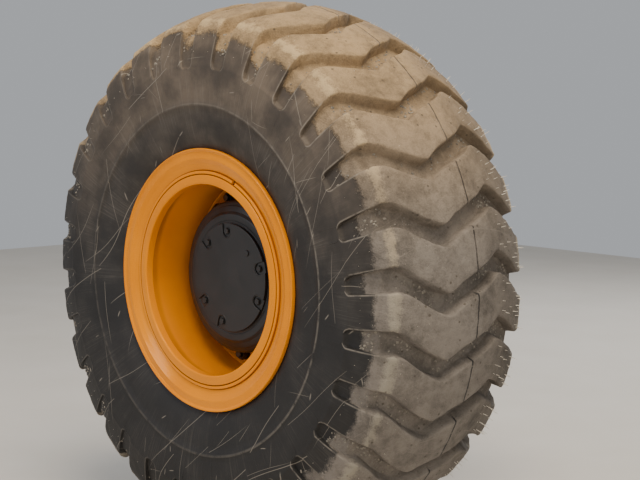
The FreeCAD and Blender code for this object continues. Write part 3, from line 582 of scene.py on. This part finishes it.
# radius and reach of the tyre's outside, from the bead to the crown, and of its air space
tyre = {
    "lugs": 28, "firstGroove": 4.0, "bendRadius": 524.2, "crownRadius": 807.6, "crownRows": 24, "lugColumns": 8,
    "crownEnds": (246.5, 7), "grooveWidth": 60, "grooveDepth": 38, "draft": 7,
    "bead": [(317.9, 169.65), (317.9, 242.0), (320.6, 246.9), (345, 247.2), (366, 248.6)],
    "sidewall": [(381.6, 261.3), (400, 270.4), (420, 278), (450, 285), (480, 289), (505, 292), (545, 295.8),
                 (578, 297.3), (598, 297.4)],
    "sidewallRuns": [2, 2, 2, 1, 1, 2, 1, 1],
    "lugSide": [(622, 295.6), (645, 291.3), (680, 281.6), (708, 272.6)],
    "lugSideRuns": [2, 3, 3],
    "air": [(480, 254), (612, 263.5), (732, 170)],
    # ring moulded on the sidewall, in place of its row at the first radius: radius, reach, scuffed edge
    "ringRow": 505, "ring": [(501, 291.4, 0.0), (503, 293.4, 0.25), (508, 294.0, 0.5), (511, 292.7, 0.0)],
    # middle of the groove round the tread, by reach
    "grooveLine": [(-275, 22), (-250, 26), (-225, 22), (-204, 9), (-174, -13), (-134, -36), (-100, -49.5), (-90, -49),
                   (-75, -38), (-51, -22), (0, 0)],
    "crownDust": [(150, 0.72), (218, 0.78), (233, 0.95), (247, 1.12)], "crownFloorDust": 0.82, "wallDustAndShade": 0.04,
    # the mould's parting line, a nick round the crown, drawn darker with less dust as painted shade in it
    "seam": {"reaches": [2.4, 1.3], "from": 2, "depth": 1.1, "dust": 0.34},
}
# slots down the sidewall, in line with the grooves
slot = {
    "depth": 14, "draft": 3, "shallowMiddle": 9.5, "shallowWidth": 44,
    # radius, share of the depth, narrower by, at the foot's reach
    "foot": [(604.5, 0.0, 13), (607, 0.05, 10), (609, 0.35, 7), (611, 0.75, 4.6), (614, 0.95, 2.2), (617.5, 0.98, 0.8)],
    "footReach": 297.2, "footMiddle": 10, "footWidth": 47.5, "footRise": 2.5,
    # by radius
    "width": [(612, 48), (744, 66.5)], "middle": [(612, 10), (744, 25)], "rise": [(612, 2.5), (660, -3), (708, -12)],
    "dust": [(620, 0.1), (675, 0.2), (690, 0.4), (708, 0.7)],
    "floorDust": [(612, 0.18), (645, 0.3), (672, 0.72), (708, 0.8)],
    "lift": [(604, 1), (700, 0.9), (735, 0)],
    # radius, reach, way down into the slot and dust where the lug turns over to the crown
    "bevel": [(717, 269.3, (-16, 14), 0.74), (729, 261.2, (-24, 16), 0.98), (739, 254.4, (-31, 18.5), 1.12),
              (743.2, 250.9, (-34, 19), 1.14)],
    "bevelDraft": 5, "bevelFloorDust": 0.8,
}
# caked mud: how deep it lies, and the share of the slots it fills, by angle round the wheel
crust = {
    "depth": 0.0026, "lumps": 42, "grit": 95,
    "filled": [(0, 0), (62, 0), (88, 0.6), (125, 0.85), (225, 0.85), (260, 0.2), (290, 0), (360, 0)],
}


# Offsets across one groove: side, share of the way down its wall, millimetres beside that, share of the depth
def grooveColumns():
    near = [(-1, 0, -5.5, 0), (-1, 0, -1.6, 0.035), (-1, 0.06, 0.4, 0.12), (-1, 0.45, 0, 0.45), (-1, 0.8, 0, 0.8),
            (-1, 1, -0.6, 0.93), (-1, 1, 3.5, 0.985), (-1, 1, 9, 1.0)]
    return near + [(0, 1, 0, 1.0)] + [(-side, lean, -offset, depth) for side, lean, offset, depth in reversed(near)]


# One row of the section: radius and reach, groove's middle, width and floor, way down into it, dust and scuffed edge
def tyreRow(radius, reach, middle=0.0, width=50.0, floor=44.0, sink=(0.0, 0.0), dust=0.0, floorDust=0.0, edge=0.0):
    return {
        "radius": radius, "reach": reach, "middle": middle, "width": width, "floor": floor, "sink": sink, "dust": dust,
        "floorDust": floorDust, "edge": edge}


def crownAt(reach):
    return tyre["crownRadius"] - tyre["bendRadius"] + math.sqrt(tyre["bendRadius"] ** 2 - reach ** 2)


# Smoothed line of the groove: a sharp far apex, a rounded corner at the shoulder
def grooveMiddle(reach):
    places, middles = zip(*tyre["grooveLine"])
    spread = 4.5 if reach > -150 else 12.0
    window = [reach + spread * k / 3 for k in range(-3, 4)]
    return float(np.mean([math.copysign(1, -w) * np.interp(-abs(w), places, middles) for w in window]))


def outboardRows():
    rows = [tyreRow(radius, reach) for radius, reach in tyre["bead"]]
    middle, width = slot["shallowMiddle"], slot["shallowWidth"]
    for radius, reach in smoothThrough(tyre["sidewall"], tyre["sidewallRuns"]):
        rows.append(tyreRow(radius, reach, middle, width, width - 4, dust=0.1 * max(0.0, (radius - 480) / 120)))
    place = [abs(row["radius"] - tyre["ringRow"]) < 1 for row in rows].index(True)
    rows[place:place + 1] = [
        tyreRow(radius, reach, middle, width, width - 4, edge=edge) for radius, reach, edge in tyre["ring"]]
    for radius, share, narrower in slot["foot"]:
        width = slot["footWidth"] - 2 * narrower
        rows.append(tyreRow(radius, slot["footReach"], slot["footMiddle"], width, width - 2 * slot["draft"], (
            slot["footRise"] * share, slot["depth"] * share), 0.1, 0.2 * share, 0.75 if share else 0.0))
    for radius, reach in smoothThrough(tyre["lugSide"], tyre["lugSideRuns"]):
        width = valueAt(slot["width"], radius)
        rows.append(tyreRow(radius, reach, valueAt(slot["middle"], radius), width, width - 2 * slot["draft"],
                            (valueAt(slot["rise"], radius), slot["depth"]), valueAt(slot["dust"], radius),
                            valueAt(slot["floorDust"], radius), 0.8))
    for radius, reach, sink, dust in slot["bevel"]:
        width = valueAt(slot["width"], radius)
        rows.append(tyreRow(radius, reach, valueAt(
            slot["middle"], radius), width, width - 2 * slot["bevelDraft"], sink, dust, slot["bevelFloorDust"], 0.2))
    seam = tyre["seam"]
    for reach in list(np.linspace(*tyre["crownEnds"], tyre["crownRows"])) + seam["reaches"]:
        # grooves widen and their floors rise towards the shoulder
        near = valueAt([(218, 0), (250, 1)], reach)
        width = tyre["grooveWidth"] + 5.5 * near
        inSeam = reach < seam["from"]
        dust = seam["dust"] if inSeam else valueAt(tyre["crownDust"], reach)
        rows.append(tyreRow(crownAt(reach) - (seam["depth"] if inSeam else 0), reach, grooveMiddle(-reach), width,
                            width - 2 * tyre["draft"], (-tyre["grooveDepth"] + 4 * near, 19 * near), dust,
                            tyre["crownFloorDust"]))
    for row in rows:
        row["reach"] = -row["reach"]
    return rows


# One lug and its groove over the whole section, with what the mud needs to know as attributes of its points
def tyrePitch():
    half = outboardRows()
    other = [dict(row, reach=-row["reach"], middle=-row["middle"]) for row in reversed(half)]
    air = [tyreRow(radius, reach) for radius, reach in tyre["air"]]
    rows = half + other + air + [tyreRow(radius, -reach) for radius, reach in reversed(tyre["air"])]
    step = 360.0 / tyre["lugs"]
    columns = grooveColumns()
    runs = tyre["lugColumns"] + 1
    points, dusts, edges, floors, lifts = [], [], [], [], []
    for row in rows:
        inward = math.copysign(1, -row["reach"])
        degreesPerMm = math.degrees(1 / row["radius"])
        angles = []
        for side, lean, offset, depth in columns:
            across = side * (row["width"] / 2 * (1 - lean) + row["floor"] / 2 * lean)
            angles.append(((row["middle"] + across + offset) * degreesPerMm, depth))
        gapStart, gapEnd = angles[-1][0], angles[0][0] + step
        angles += [(gapStart + (gapEnd - gapStart) * k / runs, 0.0) for k in range(1, runs)] + [(gapEnd, 0.0)]
        sinks = row["sink"] != (0.0, 0.0)
        for column, (angle, depth) in enumerate(angles):
            turn = math.radians(tyre["firstGroove"] + angle)
            radius = row["radius"] + row["sink"][0] * depth
            inwards = inward * row["sink"][1] * depth
            points.append(Vector((radius * math.cos(turn), row["reach"] + inwards, radius * math.sin(turn))) * mm)
            floors.append(1.0 if sinks and depth > 0.98 and row["radius"] > 640 else 0.0)
            lifts.append(-inwards * mm * valueAt(slot["lift"], row["radius"]))
            dust = row["dust"] * (1 - depth) + row["floorDust"] * depth
            # painted shade: the groove walls are drawn with a little less dust, so a little darker
            wallDustAndShade = tyre["wallDustAndShade"] if 0.05 < depth < 0.9 else 0
            dusts.append(dust - wallDustAndShade if sinks else row["dust"])
            edges.append(row["edge"] if not sinks or column in (1, len(columns) - 2) else 0.0)
    width = len(columns) + runs
    faces = []
    for r in range(len(rows)):
        one, two = r * width, ((r + 1) % len(rows)) * width
        faces += [(one + c, one + c + 1, two + c + 1, two + c) for c in range(width - 1)]
    pitch = pieceFrom("tyreBody", points, faces)
    for name, values in (("dust", dusts), ("edge", edges), ("mudFloor", floors), ("slotLift", lifts)):
        pitch.data.attributes.new(name, "FLOAT", "POINT").data.foreach_set("value", values)
    return pitch


# Lets the crust rise and fall by a few millimetres, always inwards so that the tyre keeps its size, and fills the slots
# of the side that stands in the mud's run-off, by the shares in "filled"
def unevenCrust(mesh):
    count = len(mesh.vertices)
    dusts, lifts, places, normals = np.zeros(count), np.zeros(count), np.zeros(3 * count), np.zeros(3 * count)
    mesh.attributes["dust"].data.foreach_get("value", dusts)
    mesh.attributes["slotLift"].data.foreach_get("value", lifts)
    mesh.vertices.foreach_get("co", places)
    mesh.vertices.foreach_get("normal", normals)
    places, normals = places.reshape(-1, 3), normals.reshape(-1, 3)
    aside = Vector((5, 2, 8))
    swell = np.array([steadyNoise.noise(Vector(p) * crust["lumps"]) * 0.6
                      + steadyNoise.noise(Vector(p) * crust["grit"] + aside) * 0.4 for p in places])
    depth = crust["depth"] * np.clip(dusts + 0.25, 0, 1) * (0.5 + swell) * (dusts > 0.05)
    angles = np.degrees(np.arctan2(places[:, 2], places[:, 0])) % 360
    fill = np.interp(angles, *zip(*crust["filled"])) * (0.8 + 0.2 * swell)
    places = places - normals * depth[:, None]
    places[:, 1] += lifts * fill
    mesh.vertices.foreach_set("co", places.ravel())
    mesh.update()


tyreBody = ringOf(tyrePitch(), tyre["lugs"], 0.0, finishes["rubber"], 0.00005, 50)
unevenCrust(tyreBody.data)
finishPiece(tyreBody, "wheel", None, ["tyre"])
print("tyre:", len(tyreBody.data.polygons), "faces")

ventHair = {
    "length": 0.017, "radius": 0.0012, "lean": 0.1, "leftOut": 0.38, "seed": 7, "topRadius": 806.8, "root": 0.8,
    "reaches": [-224, -196, -164, 112, 134, 158, 184, 206, 224, 240], "across": [-40, -14, 14, 40],
    "shorter": [(0, 1), (50, 1), (75, 0.5), (110, 0.35), (250, 0.35), (300, 1), (360, 1)], "nearSize": 0.3,
    "sideRadii": [655, 690], "sideAcross": [-30, 4, 34], "sideLean": 18, "sideSize": 0.25,
}


# Root points of the moulding's vent hairs, in rows over every lug, each with its direction and its share of the full
# length: the outer half's are worn to stubs, and so are those of the lugs that last rolled through the mud
def hairRoots():
    points, ways, sizes = [], [], []
    for lug in range(tyre["lugs"]):
        lugTurn = tyre["firstGroove"] + 180.0 / tyre["lugs"] + 360.0 * lug / tyre["lugs"]
        left = valueAt(ventHair["shorter"], lugTurn % 360)
        for reach in ventHair["reaches"]:
            radius = crownAt(reach)
            middle = math.copysign(1, -reach) * grooveMiddle(-abs(reach))
            room = (ventHair["topRadius"] - radius) / (ventHair["length"] * 1000)
            tilt = reach / math.sqrt(tyre["bendRadius"] ** 2 - reach ** 2)
            for across in ventHair["across"]:
                turn = math.radians(lugTurn) + (middle + across) / radius
                outward = Vector((math.cos(turn), tilt, math.sin(turn))).normalized()
                foot = Vector((radius * math.cos(turn), reach, radius * math.sin(turn))) - outward * ventHair["root"]
                points.append(axleCentre + foot * mm)
                ways.append(outward)
                # lengths vary from hair to hair
                varied = 0.72 + 0.28 * math.sin(7.3 * len(points))
                sizes.append(min(1.0, room) * varied * left * (ventHair["nearSize"] if reach < 0 else 1.0))
        for radius in ventHair["sideRadii"]:
            reach = valueAt(tyre["lugSide"], radius) - ventHair["root"]
            for side in (-1, 1):
                for across in ventHair["sideAcross"]:
                    turn = math.radians(lugTurn) + (across - ventHair["sideLean"] * side) / radius
                    points.append(axleCentre + Vector((
                        radius * math.cos(turn), side * reach, radius * math.sin(turn))) * mm)
                    ways.append(Vector((0.3 * math.cos(turn), side, 0.3 * math.sin(turn))))
                    sizes.append(ventHair["sideSize"])
    return points, ways, sizes


rootPoints, rootWays, rootSizes = hairRoots()
ventHairs = pieceFrom("ventHairs", rootPoints, [])
directions = ventHairs.data.attributes.new("way", "FLOAT_VECTOR", "POINT")
directions.data.foreach_set("vector", [c for way in rootWays for c in way])
ventHairs.data.attributes.new("size", "FLOAT", "POINT").data.foreach_set("value", rootSizes)
grown(ventHairs, hairsOnTread, {
    "Length": ventHair["length"], "Radius": ventHair["radius"], "Lean": ventHair["lean"],
    "Left Out": ventHair["leftOut"], "Seed": ventHair["seed"], "Finish": finishes["hair"]}, 60)
finishPiece(ventHairs, "wheel")

clods = {"perSquareMetre": 9000.0, "smallest": 0.0012, "largest": 0.0055, "seed": 3}
mudClods = bpy.data.objects.new("mudClods", tyreBody.data.copy())
bpy.context.scene.collection.objects.link(mudClods)
grown(mudClods, clodsInGrooves, {"Clods Per Square Metre": clods["perSquareMetre"], "Smallest": clods["smallest"],
                                 "Largest": clods["largest"], "Seed": clods["seed"], "Finish": finishes["mud"]})
finishPiece(mudClods, "wheel")
print("mud clods:", len(mudClods.data.polygons), "faces")
print("vent hairs:", len(ventHairs.data.polygons), "faces")

# sections of the rim's pieces: radius, reach, rounding
rim = {
    "flange": [(317.8, 247.65), (364, 247.65, 22), (381, 261.65, 6), (381, 274.65, 2.5), (376.5, 274.65, 2),
               (371.5, 269.2, 6), (351, 272.2, 5), (337, 264.8, 12), (317.8, 258.2)],
    "base": [(290, 278.95, 3), (322.5, 278.95, 3), (322.5, 270.95), (317.5, 270.95), (317.5, 183.65), (302, 159.65, 8),
             (302, -241), (296, -241), (296, -253), (305.2, -256), (305.2, -264.6, 3), (277, -267, 5), (277, -241),
             (290, -231)],
    "band": [(302.3, 158.65), (317.5, 172.65, 3), (317.5, 250.65), (302.3, 250.65)],
    "disc": [(226, -50, 1), (289.85, -50), (289.85, -25), (226, -25)],
    "lockRing": [(306.6, -256.6), (316.8, -256.6), (316.8, -263.6, 3.5), (306.6, -264.4, 3)],
    "discWeld": [(289.9, -49.9), (281, -49.9), (283, -53.5, 3), (287, -57.5, 3), (289.9, -59.5)],
    "lockSplit": 67.0, "lockGap": 12.0,
}


# Pieces turned in one go: name, section, side of the wheel, steps round it and the CAD nodes replaced
def turnedPieces(rows, body, finish):
    for name, corners, side, steps, *nodes in rows:
        finishPiece(turnedPiece(name, corners, side, steps), body, finishes[finish], nodes)


# Open ring: a section swept from one side of the split round to the other, with flat ends
def splitRing(name, corners, splitAngle, gap, steps):
    section = roundedSection(corners)
    halfGap = math.degrees(gap / 2 / corners[0][0])
    points, faces = [], []
    for k in range(steps + 1):
        turn = math.radians(splitAngle + halfGap + (360 - 2 * halfGap) * k / steps)
        points += [axleCentre + Vector((p.x * math.cos(turn), p.y, p.x * math.sin(turn))) * mm for p in section]
    count = len(section)
    for k in range(steps):
        one, two = k * count, (k + 1) * count
        faces += [(one + i, one + (i + 1) % count, two + (i + 1) % count, two + i) for i in range(count)]
    faces += [tuple(range(count)), tuple(range(steps * count, (steps + 1) * count))]
    return pieceFrom(name, points, faces, 38)


turnedPieces([
    ("outerFlange", rim["flange"], -1, 256, "outer_flange"),
    ("innerFlange", rim["flange"], 1, 192, "inner_flange"),
    ("rimBase", rim["base"], 1, 256, "rim_base"),
    ("beadSeatBand", rim["band"], -1, 128, "bead_seat_band"),
], "wheel", "rim")
lockRing = splitRing("lockRing", rim["lockRing"], rim["lockSplit"], rim["lockGap"], 192)
finishPiece(lockRing, "wheel", finishes["rim"], ["lock_ring"])
turnedPieces([
    ("rimDisc", rim["disc"], 1, 192, "rim_disc"),
    ("discWeld", rim["discWeld"], 1, 192),
], "wheel", "rim")
print("rim built")

hub = {
    # sections: radius, reach, rounding
    "flange": [(80.05, -39), (225.8, -39, 3), (225.8, -25), (278, -25, 3), (278, 5, 3), (205, 19, 14), (193, 40, 12),
               (150, 66, 12), (150, 128), (108.3, 128), (108.3, 114), (80.05, 114)],
    "drive": [(0, -39), (225, -39), (225, -146, 12), (211, -151.5, 3), (209.5, -153.5, 1.5), (194, -158.5, 5),
              (186, -164, 4), (168, -164, 1), (166.5, -162.8, 1), (163, -162.8, 1), (161.5, -164, 1), (0, -164)],
    "coverRadius": 159.5, "coverStart": -164, "coverStep": -169, "coverFace": -174, "coverBevel": 1.6,
    "scallopCircle": 137, "scallopRadius": 17, "lipRadius": 20.5, "lipHalf": 1.7, "groups": 3, "groupTurn": -4.0,
    "groupSpread": 20.5, "plug": [(0, -164), (8.7, -164), (8.7, -178, 1.2), (0, -178)], "plugCircle": 112,
    "plugTurn": 45,
}
turnedPieces([
    ("wheelHub", hub["flange"], 1, 192, "wheel_hub"),
    ("finalDrive", hub["drive"], 1, 224, "final_drive"),
], "wheel", "hub")


# Angles of the cover's scallops, in pairs
def scallopTurns():
    return [360 / hub["groups"] * group + hub["groupTurn"] + side * hub["groupSpread"]
            for group in range(hub["groups"]) for side in (-1, 1)]


# Plan outline of the cover's raised face: a circle with a U cut in at each bolt
def coverOutline():
    radius, notch, circle = hub["coverRadius"], hub["scallopRadius"], hub["scallopCircle"]
    mouth = math.sqrt(radius ** 2 - notch ** 2)
    bottom = [(circle + notch * math.cos(a), notch * math.sin(a)) for a in np.radians(np.linspace(270, 90, 13))]
    half = math.degrees(math.asin(notch / radius))
    turns = sorted(turn % 360 for turn in scallopTurns())
    outline = []
    for index, turn in enumerate(turns):
        a = math.radians(turn)
        for out, across in [(mouth, -notch)] + bottom + [(mouth, notch)]:
            outline.append((out * math.cos(a) - across * math.sin(a), out * math.sin(a) + across * math.cos(a)))
        following = turns[(index + 1) % len(turns)] + (360 if index == len(turns) - 1 else 0)
        start, end = turn + half, following - half
        count = max(3, int((end - start) / 3))
        for k in range(1, count):
            a = math.radians(start + (end - start) * k / count)
            outline.append((radius * math.cos(a), radius * math.sin(a)))
    return outline


# Plate of an outline, from one reach to another, with its front edge rounded
def platePiece(name, outline, start, end, bevel, segments=3):
    count = len(outline)
    points = [axleCentre + Vector((x, y, z)) * mm for y in (start, end) for x, z in outline]
    faces = [tuple(range(count)), tuple(range(count, 2 * count))]
    faces += [(k, (k + 1) % count, count + (k + 1) % count, count + k) for k in range(count)]
    plate = pieceFrom(name, points, faces, 30)
    work = bmesh.new()
    work.from_mesh(plate.data)
    front = axleCentre.y + end * mm
    rimEdges = [e for e in work.edges if all(abs(v.co.y - front) < 1e-5 for v in e.verts)]
    bmesh.ops.bevel(work, geom=rimEdges, offset=bevel * mm, segments=segments, profile=0.5, affect="EDGES",
                    clamp_overlap=True)
    work.to_mesh(plate.data)
    work.free()
    tidyMesh(plate.data, 30)
    return plate


def joined(name, pieces):
    work = bmesh.new()
    for piece in pieces:
        work.from_mesh(piece.data)
    mesh = bpy.data.meshes.new(name)
    work.to_mesh(mesh)
    work.free()
    for piece in pieces:
        bpy.data.objects.remove(piece)
    made = bpy.data.objects.new(name, mesh)
    bpy.context.scene.collection.objects.link(made)
    return made


coverPlate = platePiece("coverFace", coverOutline(), hub["coverStep"] + 0.5, hub["coverFace"], hub["coverBevel"])
coverFoot = turnedPiece("coverFoot", [
    (0, hub["coverStart"]), (hub["coverRadius"], hub["coverStart"]), (hub["coverRadius"], hub["coverStep"], 0.8),
    (0, hub["coverStep"])], 1, 160)


# Raised lip cast round the inner end of each scallop, drawn as an open arc of half-round section
def scallopLips():
    points, faces = [], []
    arc, halfRound = np.radians(np.linspace(112, 248, 13)), np.radians(np.linspace(0, 180, 7))
    rows, wide = len(arc), len(halfRound)
    for angle in scallopTurns():
        turn = math.radians(angle)
        first = len(points)
        for a in arc:
            thick = hub["lipHalf"] * (0.35 + 0.65 * math.sin((a - arc[0]) / (arc[-1] - arc[0]) * math.pi))
            for b in halfRound:
                local = hub["lipRadius"] + thick * math.cos(b)
                out, across = hub["scallopCircle"] + local * math.cos(a), local * math.sin(a)
                points.append(axleCentre + Vector((
                    out * math.cos(turn) - across * math.sin(turn), hub["coverFace"] + 0.3 - thick * math.sin(b),
                    out * math.sin(turn) + across * math.cos(turn))) * mm)
        for one in range(first, first + (rows - 1) * wide, wide):
            two = one + wide
            faces += [(one + c, one + c + 1, two + c + 1, two + c) for c in range(wide - 1)]
        for one in range(first, first + (rows - 1) * wide, wide):
            faces.append((one, one + wide, one + 2 * wide - 1, one + wide - 1))
        faces += [tuple(first + c for c in range(wide)), tuple(first + (rows - 1) * wide + c for c in range(wide))]
    return pieceFrom("scallopLips", points, faces, 50)


hubCover = joined("hubCover", [coverPlate, coverFoot, scallopLips()])
tidyMesh(hubCover.data, 30)
finishPiece(hubCover, "wheel", finishes["hub"], ["hub_cover"])
oilPlug = turnedPiece("oilPlug", hub["plug"], 1, 32)


# Moves a small piece drawn about the axle out to its own circle and angle
def shiftedOut(piece, circle, angle):
    turn = math.radians(angle)
    move = Vector((circle * math.cos(turn), 0, circle * math.sin(turn))) * mm
    for vertex in piece.data.vertices:
        vertex.co += move
    return piece


finishPiece(
    shiftedOut(oilPlug, hub["plugCircle"], hub["plugTurn"]), "wheel", finishes["hub"], ["oil_plug"])


# Screw or nut along the axle at the centre: a washer, a hexagon with a chamfered crown, and a stud's end on a nut
def hexHead(name, head):
    washerRadius, washerThickness = head["washer"]
    face = head["face"] - washerThickness
    profile = [("round", 0.01, head["face"]), ("round", washerRadius, head["face"]), ("round", washerRadius, face),
               ("hex", head["flats"], face), ("hex", head["flats"], head["top"] + head["chamfer"]),
               ("crown", head["flats"] / 2 * 0.97, head["top"])]
    end = head["top"]
    if "stud" in head:
        radius, end = head["stud"]
        profile += [("round", radius, head["top"]), ("round", radius, end + 1.6), ("round", radius - 1.6, end)]
    profile += [("round", 0.01, end)]
    points, rings, count = [], [], 36
    for kind, size, reach in profile:
        rings.append(range(len(points), len(points) + count))
        for k in range(count):
            turn = 2 * math.pi * k / count
            radius = size
            if kind == "hex":
                local = (turn + math.pi / 6) % (math.pi / 3) - math.pi / 6
                radius = size / 2 / math.cos(local)
            points.append(Vector((radius * math.cos(turn), reach, radius * math.sin(turn))) * mm)
    faces = []
    for one, two in zip(rings, rings[1:]):
        faces += [(one[k], one[(k + 1) % count], two[(k + 1) % count], two[k]) for k in range(count)]
    return pieceFrom(name, points, faces, 28)


nut = {"count": 24, "circle": 256, "flats": 34, "face": -50, "top": -72, "chamfer": 2.5, "washer": (20.5, 3),
       "stud": (11, -82)}
wheelNuts = shiftedOut(hexHead("wheelNuts", nut), nut["circle"], 0)
finishPiece(ringOf(wheelNuts, nut["count"], 0.0, finishes["nuts"]), "wheel", None, ["wheel_nuts"])

coverBolt = {"flats": 17, "face": -169, "top": -176, "chamfer": 1.2, "washer": (10.6, 1.6)}
coverBolts = joined("coverBolts", [shiftedOut(hexHead("coverBolt", coverBolt), hub["scallopCircle"], turn)
                                   for turn in scallopTurns()[:2]])
finishPiece(ringOf(coverBolts, hub["groups"], 0.0, finishes["hub"]), "wheel", None, ["cover_bolts"])
print("hub built")

# sections about the axle, on the machine's side
inboard = {
    "brakeDisc": [(118, 128, 1), (222, 128, 1.5), (222, 144, 1.5), (118, 144, 1)],
    "spindle": [(36, -34), (80, -34, 3), (80, 161, 6), (150, 161, 3), (150, 179), (36, 179)],
    "seal": [(80, 114.3), (108, 114.3), (108, 134, 2), (98, 134, 1), (96, 131.5, 1), (90, 131.5, 1), (88, 134, 1),
             (80, 134)],
}
turnedPieces([("brakeDisc", inboard["brakeDisc"], 1, 192, "brake_disc")], "wheel", "disc")
turnedPieces([("wheelSpindle", inboard["spindle"], 1, 96, "spindle")], "axle_end", "steel")
turnedPieces([("hubSeal", inboard["seal"], 1, 96, "hub_seal")], "axle_end", "seal")

# pieces whose CAD mesh is kept: name, CAD node, body, slot, finish, sharp angle
carriedOver = [
    ("valveStem", "valve_stem", "wheel", "valve_brass", "brass", 32),
    ("valveCap", "valve_cap", "wheel", "black_plastic", "cap", 32),
    ("brakeBracket", "brake_bracket", "axle_end", "axle_paint", "arm", 30),
    ("brakeCaliper", "brake_caliper", "axle_end", "axle_paint", "arm", 30),
    ("outerBrakePad", "outer_brake_pad", "axle_end", "brake_lining", "lining", 30),
    ("innerBrakePad", "inner_brake_pad", "axle_end", "brake_lining", "lining", 30),
    ("axleArm", "axle_arm", "axle_end", "axle_paint", "arm", 34),
    ("shaftBush", "shaft_bush", "axle_end", "valve_brass", "brass", 30),
    ("halfShaft", "half_shaft", "half_shaft", "machined_steel", "steel", 30),
]
for name, node, body, slotName, finish, sharp in carriedOver:
    finishPiece(copyOfNode(name, node, sharp), body, finishes[finish], [node])

# Screws seen from the machine's side: twelve hold the arm to the spindle, two the caliper to its bracket
armBolt = {"flats": 24, "face": 232, "top": 246, "chamfer": -1.6, "washer": (16, -4), "circle": 127, "count": 12,
           "firstAngle": 15.0}
armBolts = shiftedOut(hexHead("armBolts", armBolt), armBolt["circle"], 0)
finishPiece(ringOf(armBolts, armBolt["count"], armBolt["firstAngle"], finishes["nuts"]), "axle_end")
caliperBolt = {"flats": 19, "face": 197, "top": 208, "chamfer": -1.2, "washer": (14, -2), "circle": 244,
               "angles": (168, 192)}
caliperBolts = joined("caliperBolts", [shiftedOut(hexHead("caliperBolt", caliperBolt), caliperBolt["circle"], angle)
                                       for angle in caliperBolt["angles"]])
for vertex in caliperBolts.data.vertices:
    vertex.co += axleCentre
tidyMesh(caliperBolts.data, 28)
finishPiece(caliperBolts, "axle_end", finishes["nuts"])
print("axle end built")

studio = {
    "floor": -0.808, "floorSize": 14.0, "floorColour": "#cfcbc4", "floorShade": "#c4bfb6", "sky": "#dfe3e8",
    "skyStrength": 0.55,
    # lamps: name, position, aimed at, size, power, colour
    "lamps": [
        ("skyKey", (1.9, -1.9, 4.6), (0, -0.8, 0.1), 3.8, 340, "#fff0dc"),
        ("frontFill", (-2.1, -5.6, 1.3), (0, -0.9, 0), 1.5, 60, "#f6f6ff"),
        ("sideFill", (4.6, -4.0, 1.3), (0, -0.9, 0), 3.2, 85, "#fff4e4"),
        ("backFill", (-1.5, 4.2, 3.0), (0, -0.2, 0), 3.0, 130, "#ffffff"),
    ],
}

half = studio["floorSize"] / 2
corners = [(x * half, y * half - 0.8, studio["floor"]) for x, y in ((-1, -1), (1, -1), (1, 1), (-1, 1))]
floor = pieceFrom("studioFloor", corners, [(0, 1, 2, 3)])
floor.data.materials.append(paleFloor(studio))
for name, position, target, size, power, colour in studio["lamps"]:
    light = bpy.data.lights.new(name, "AREA")
    light.shape, light.size, light.energy, light.color = "DISK", size, power, srgb(colour)[:3]
    lamp = bpy.data.objects.new(name, light)
    lamp.location = position
    lamp.rotation_euler = (Vector(target) - Vector(position)).to_track_quat("-Z", "Y").to_euler()
    bpy.context.scene.collection.objects.link(lamp)
world = bpy.data.worlds.new("softSky")
world.use_nodes = True
world.node_tree.nodes["Background"].inputs["Color"].default_value = srgb(studio["sky"])
world.node_tree.nodes["Background"].inputs["Strength"].default_value = studio["skyStrength"]
bpy.context.scene.world = world

camera = {"sensor": 36.0, "lens": 83.99, "position": (3.3100, -3.7722, 0.5844), "turn": (83.803, -0.662, 46.258)}
lens = bpy.data.cameras.new("photoView")
lens.sensor_width, lens.lens = camera["sensor"], camera["lens"]
view = bpy.data.objects.new("photoView", lens)
view.location = camera["position"]
view.rotation_euler = [math.radians(a) for a in camera["turn"]]
bpy.context.scene.collection.objects.link(view)
bpy.context.scene.camera = view
